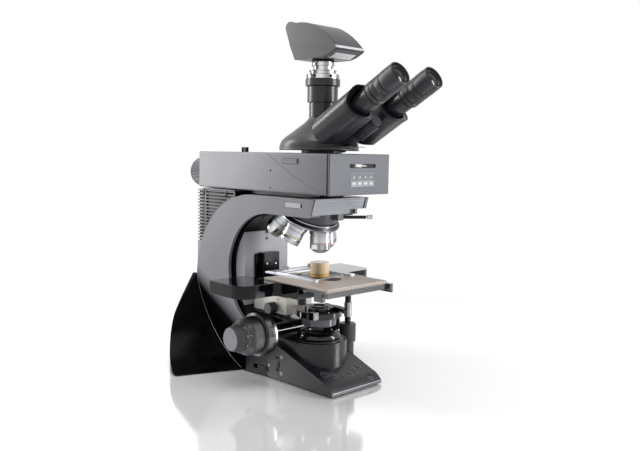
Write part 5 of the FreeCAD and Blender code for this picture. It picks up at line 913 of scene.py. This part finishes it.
# Painted highlight: the black gloss is painted grey below the barrel's top.
condenser_finish.shade(condenser_z < BARREL_TOP_Z, tint(74, 77, 83))
dress(bracket_cream, "condenser_bracket")
dress(knob_black, "condenser_knob")
dress(condenser_finish, "condenser")
dress(gloss_black, "condenser_lever", "field_ring")
toothed("condenser_grip", 9.9, 9.9, 26, 0.6, 2.2, 14.2, at(-28.4, 74, 107, OUT_LEFT), knob_black,
        "condenser_drive")
band("clamp_mark", 2.1, 1.4, 0, 0.12, at(-31, CLAMP_FACE_Y - 0.15, 107.8, TO_FRONT), dial_print,
     "condenser_carrier", 0.02, 32)
# Painted highlight: a bright rod along the clamp block's front edges.
bent_rod("clamp_edge_highlight", [
    (-36.3, CLAMP_FACE_Y, 103.4), (-36.3, CLAMP_FACE_Y, 114.2), (-25.7, CLAMP_FACE_Y, 114.2)], 0.3,
    at(0, 0, 0), edge_bright, "condenser_carrier")
copied(first_screw, "clamp_screw", at(-36.5, -20, 109, OUT_LEFT) @ screw_place.inverted(),
       "condenser_carrier")
tab_middle = TAB_AXIS * -TAB_R
field_tab = plate("field_tab_1", [(-2.2, -4.2), (2.2, -4.2), (2.2, 4.2), (-2.2, 4.2)], 2.3,
                  at(tab_middle.x, tab_middle.y, TAB_Z, (0, 0, 1), TAB_AXIS), gloss_black, "field_ring", 0.6)
copied(field_tab, "field_tab_2", shift(*(TAB_AXIS * 2 * TAB_R)), "field_ring")
turned("field_roll", [
    (19.6, 66.5), (32.4, 66.5), (34.2, 68.0), (34.9, 70.4), (34.4, 73.4), (32.4, 76.2), (29.2, 78.3),
    (25.6, 78.8), (22.6, 78.6), (20.6, 77.2), (19.6, 74.0), (19.6, 66.5)],
    at(0, 0, 0), gloss_black, "field_ring", 96)
frosted = moulded("frosted", tint(206, 209, 212), 0.4, edge=0.1)
turned("port_glass", [(0, 70.2), (9, 70.0), (17.0, 69.2), (18.6, 68.4), (18.6, 67.6), (0, 67.6)],
       at(0, 0, 0), frosted, "stand")


# Tube head: a cast dome on a turned disc, two pods that fold about its rear hub, and eyepieces with
# rubber cups. The paint is dark and satin with a fine grain.

DISC_LINE_LOW_Z, DISC_LINE_HIGH_Z = 364.7, 365.4
EYE_Y, EYE_Z, EYE_SLANT = -184, 465.5, math.radians(30)
EYE_AXIS = Vector((0, math.cos(EYE_SLANT), -math.sin(EYE_SLANT)))
POD_X, EYEPIECE_X = 36.25, 36.4
head_paint = painted("head_paint", tint(60, 60, 64), 0.34, grain=0.4, depth=0.012, edge=0.8,
                     Specular_IOR_Level=0.35)
_, _, head_z = head_paint.coordinates()
disc_line = (head_z > DISC_LINE_LOW_Z) * (head_z < DISC_LINE_HIGH_Z)
head_paint.shade(disc_line * 0.7, tint(190, 191, 194))
pod_paint = painted("pod_paint", tint(20, 22, 27), 0.28, grain=0.4, depth=0.006, edge=0.8,
                    Specular_IOR_Level=0.3)
tube_paint = moulded("tube_paint", tint(28, 29, 33), 0.3, depth=0.002, edge=0.5, Specular_IOR_Level=0.45)
dress(head_paint, "head_body")
dress(tube_paint, "photo_tube")
dress(pod_paint, "pod_left", "pod_right")
POD_CORNER_R = 20
POD_RIM = [(-24.0, 66.0), (-16.5, 72.0), (-5.0, 83.0), (5.0, 84.0), (15.0, 81.0), (23.0, 76.5)]


def rim_at(n):
    """How far down its axis a pod's open end is, for a height across it."""
    for (n0, s0), (n1, s1) in zip(POD_RIM, POD_RIM[1:]):
        if n <= n1:
            return s0 + (s1 - s0) * (n - n0) / (n1 - n0)
    return POD_RIM[-1][1]


rims = []
# The black rod in each rim's groove is painted shade.
for label, behind, radius, made in (("lip", 0.5, 0.75, pod_paint), ("groove_shade", 3.6, 0.4, deep_black)):
    around = []
    for x, n, start in ((5.75, 2.5, 0), (-5.75, 2.5, 90), (-5.75, -4.0, 180), (5.75, -4.0, 270)):
        for j in range(9):
            turn = math.radians(start + 90 * j / 8)
            rx, rn = x + POD_CORNER_R * math.cos(turn), n + POD_CORNER_R * math.sin(turn)
            around.append((rx, rn, rim_at(rn) + behind))
    eye = at(-POD_X, EYE_Y, EYE_Z, EYE_AXIS)
    rims.append(bent_rod(f"pod_{label}_left", around, radius, eye, made, "pod_left", closed=True))
for rim in rims:
    copied(rim, rim.name.replace("left", "right"), shift(2 * POD_X, 0, 0), "pod_right")

eyepiece_black = moulded("eyepiece_black", tint(20, 22, 27), 0.4, depth=0.0002, edge=0.05,
                         Specular_IOR_Level=0.45)
cup_rubber = moulded("cup_rubber", tint(26, 28, 33), 0.42, grain=0.3, depth=0.0003, edge=0.05,
                     Specular_IOR_Level=0.45)
eye_glass = moulded("eye_glass", tint(2, 2, 4), 0.12, depth=0.0002, edge=0.05, Specular_IOR_Level=0.3)
dress(eyepiece_black, "eyepiece_left", "eyepiece_right")
eye_left = at(-EYEPIECE_X, EYE_Y, EYE_Z, EYE_AXIS)
across = shift(2 * EYEPIECE_X, 0, 0)
for label, profile, made in (
    ("cup", [(15.7, 3.5), (16.3, 0.4), (16.8, -0.25), (17.25, 0.3), (17.3, 2.2), (17.7, 10), (17.8, 21.5),
             (17.4, 23.6), (17.0, 23.8), (15.6, 3.5)], cup_rubber),
    ("lens", [(0, 1.6), (4, 1.9), (8, 2.7), (11, 3.9), (13.8, 5.6), (13.8, 9.2), (0, 9.2)], eye_glass),
    ("lens_ring", [(13.7, 6.0), (14.6, 5.0), (15.4, 3.2), (15.9, 1.4), (15.9, 9.4), (13.7, 9.4),
                   (13.7, 6.0)], deep_black),
    ("scale_ring", [(17.0, 26.2), (17.55, 26.4), (17.6, 33.8), (17.5, 34.0), (17.5, 34.6), (17.6, 34.8),
                    (17.6, 43.6), (17.0, 44.2), (17.0, 26.2)], eyepiece_black),
    ("base_ring", [(15.2, 54.2), (16.0, 54.4), (16.2, 55.2), (15.9, 56.2), (15.2, 56.4), (15.2, 54.2)],
     eyepiece_black),
):
    first = turned(f"eye_{label}_left", profile, eye_left, made, "eyepiece_left")
    copied(first, f"eye_{label}_right", across, "eyepiece_right")


# Photo tube and camera: a stepped black tube with a clamped chrome adapter, and a cast camera shell
# between two side plates with a pale lip, which is a painted highlight, and a bare label plate underneath.

DARK_BAND_Z = 496.2
SIDE_PLATE_X = 30.0
CREASE_TOP_Y, CREASE_TOP_Z, CREASE_BEND = 42.4, 525.3, 0.0021
LIP_FRONT_Y, LIP_LOW_Z, LIP_HIGH_Z = -54.2, 511.2, 514.6
UNDERSIDE_Z = 507.8
SCREW_CIRCLE = 25.4
adapter_chrome = lathe_metal("adapter_chrome", tint(222, 222, 221), 0.2, spot(0, 0, 470), (0, 0, 1),
                             reflection_streaks=0.9)
_, _, adapter_z = adapter_chrome.coordinates()
dark_band = adapter_z > DARK_BAND_Z
adapter_chrome.shade(dark_band, tint(10, 10, 11))
adapter_chrome.set(Metallic=1 - dark_band)
camera_paint = painted("camera_paint", tint(42, 41, 45), 0.34, grain=0.45, depth=0.012, edge=0.7,
                       Specular_IOR_Level=0.35)
camera_x, camera_y, camera_z = camera_paint.coordinates()
side_plate = camera_x.maths("ABSOLUTE", camera_x) > SIDE_PLATE_X
crease = CREASE_TOP_Z - (CREASE_TOP_Y - camera_y) * (CREASE_TOP_Y - camera_y) * CREASE_BEND
below = crease.maths("GREATER_THAN", crease, camera_z)
near = camera_z.maths("ABSOLUTE", camera_z - crease) < 0.35
# Painted shade: the side plates darken below the crease, and darker still along it.
camera_paint.shade(side_plate * below * 0.4, tint(32, 32, 36))
camera_paint.shade(side_plate * near * 0.7, tint(28, 28, 32))
front_lip = (camera_y < LIP_FRONT_Y) * (camera_z < LIP_HIGH_Z) * (camera_z > LIP_LOW_Z)
# Painted highlight: a pale band on the nose's upper facet.
camera_paint.shade(front_lip * (1 - side_plate), tint(190, 191, 195))
# Painted reflection: the underside is lighter, as a bright reflection from below.
camera_paint.shade((camera_z < UNDERSIDE_Z) * (1 - side_plate), tint(66, 67, 71))
dress(adapter_chrome, "camera_mount")
dress(camera_paint, "camera_body")
band("seat_ring", 17.2, 14.0, 496.3, 499.0, at(0, 0, 0), deep_black, "stand", 0.3)
band("adapter_step", 17.4, 14.6, 489.5, 494.6, at(0, 0, 0), adapter_chrome, "stand", 0.4)
band("adapter_lip", 21.2, 19.4, 481.4, 483.2, at(0, 0, 0), adapter_chrome, "stand", 0.3)
for i, turn in enumerate((-163, -107, 17, 73)):
    out = Vector((math.cos(math.radians(turn)), math.sin(math.radians(turn)), 0))
    place = at(out.x * SCREW_CIRCLE, out.y * SCREW_CIRCLE, 473.5, out)
    if i == 0:
        adapter_screw = turned("adapter_screw_1", SCREW_HEAD, place, deep_black, "stand", 24)
        to_first = place.inverted()
    else:
        copied(adapter_screw, f"adapter_screw_{i + 1}", place @ to_first, "stand")
for i, (low, radius) in enumerate(((434.9, 23.65), (458.2, 24.6))):
    band(f"tube_bead_{i + 1}", radius, 22.0, low, low + 0.7, at(0, 0, 0), tube_paint, "stand", 0.2)
label_paint = moulded("label_paint", tint(206, 208, 210), 0.4, edge=0.1)
front_left, front_right = Vector((-20.4, -47.6, 505.0)), Vector((21.5, -47.6, 505.0))
rear_right, rear_left = Vector((23.0, -33.5, 499.0)), Vector((-19.0, -33.5, 499.0))
corners = (front_left, front_right, rear_right, rear_left)
down = (rear_left - front_left).cross(front_right - front_left).normalized()
label_place = at(*corners[0], down)
flat = label_place.inverted()
outline = [flat @ spot(*c) for c in corners]
plate("label_plate", [(p.x, p.y) for p in outline], 0.5, label_place, label_paint, "stand", 0.1)


# Glass of the light paths: lamp lenses, beam splitter, head prism and the lens of the light port, ground
# and polished, cemented into their mounts inside the stand and the head.

optical_glass = Finish("optical_glass", (1, 1, 1, 1), 0.02, Transmission_Weight=1.0)
optical_glass.set(IOR=1.5)
haze = optical_glass.spread(optical_glass.noise(60.0, 2.0), 0.3, 0.7, 0.0, 0.03)
optical_glass.roughen(haze)
dress(optical_glass, "lenses")
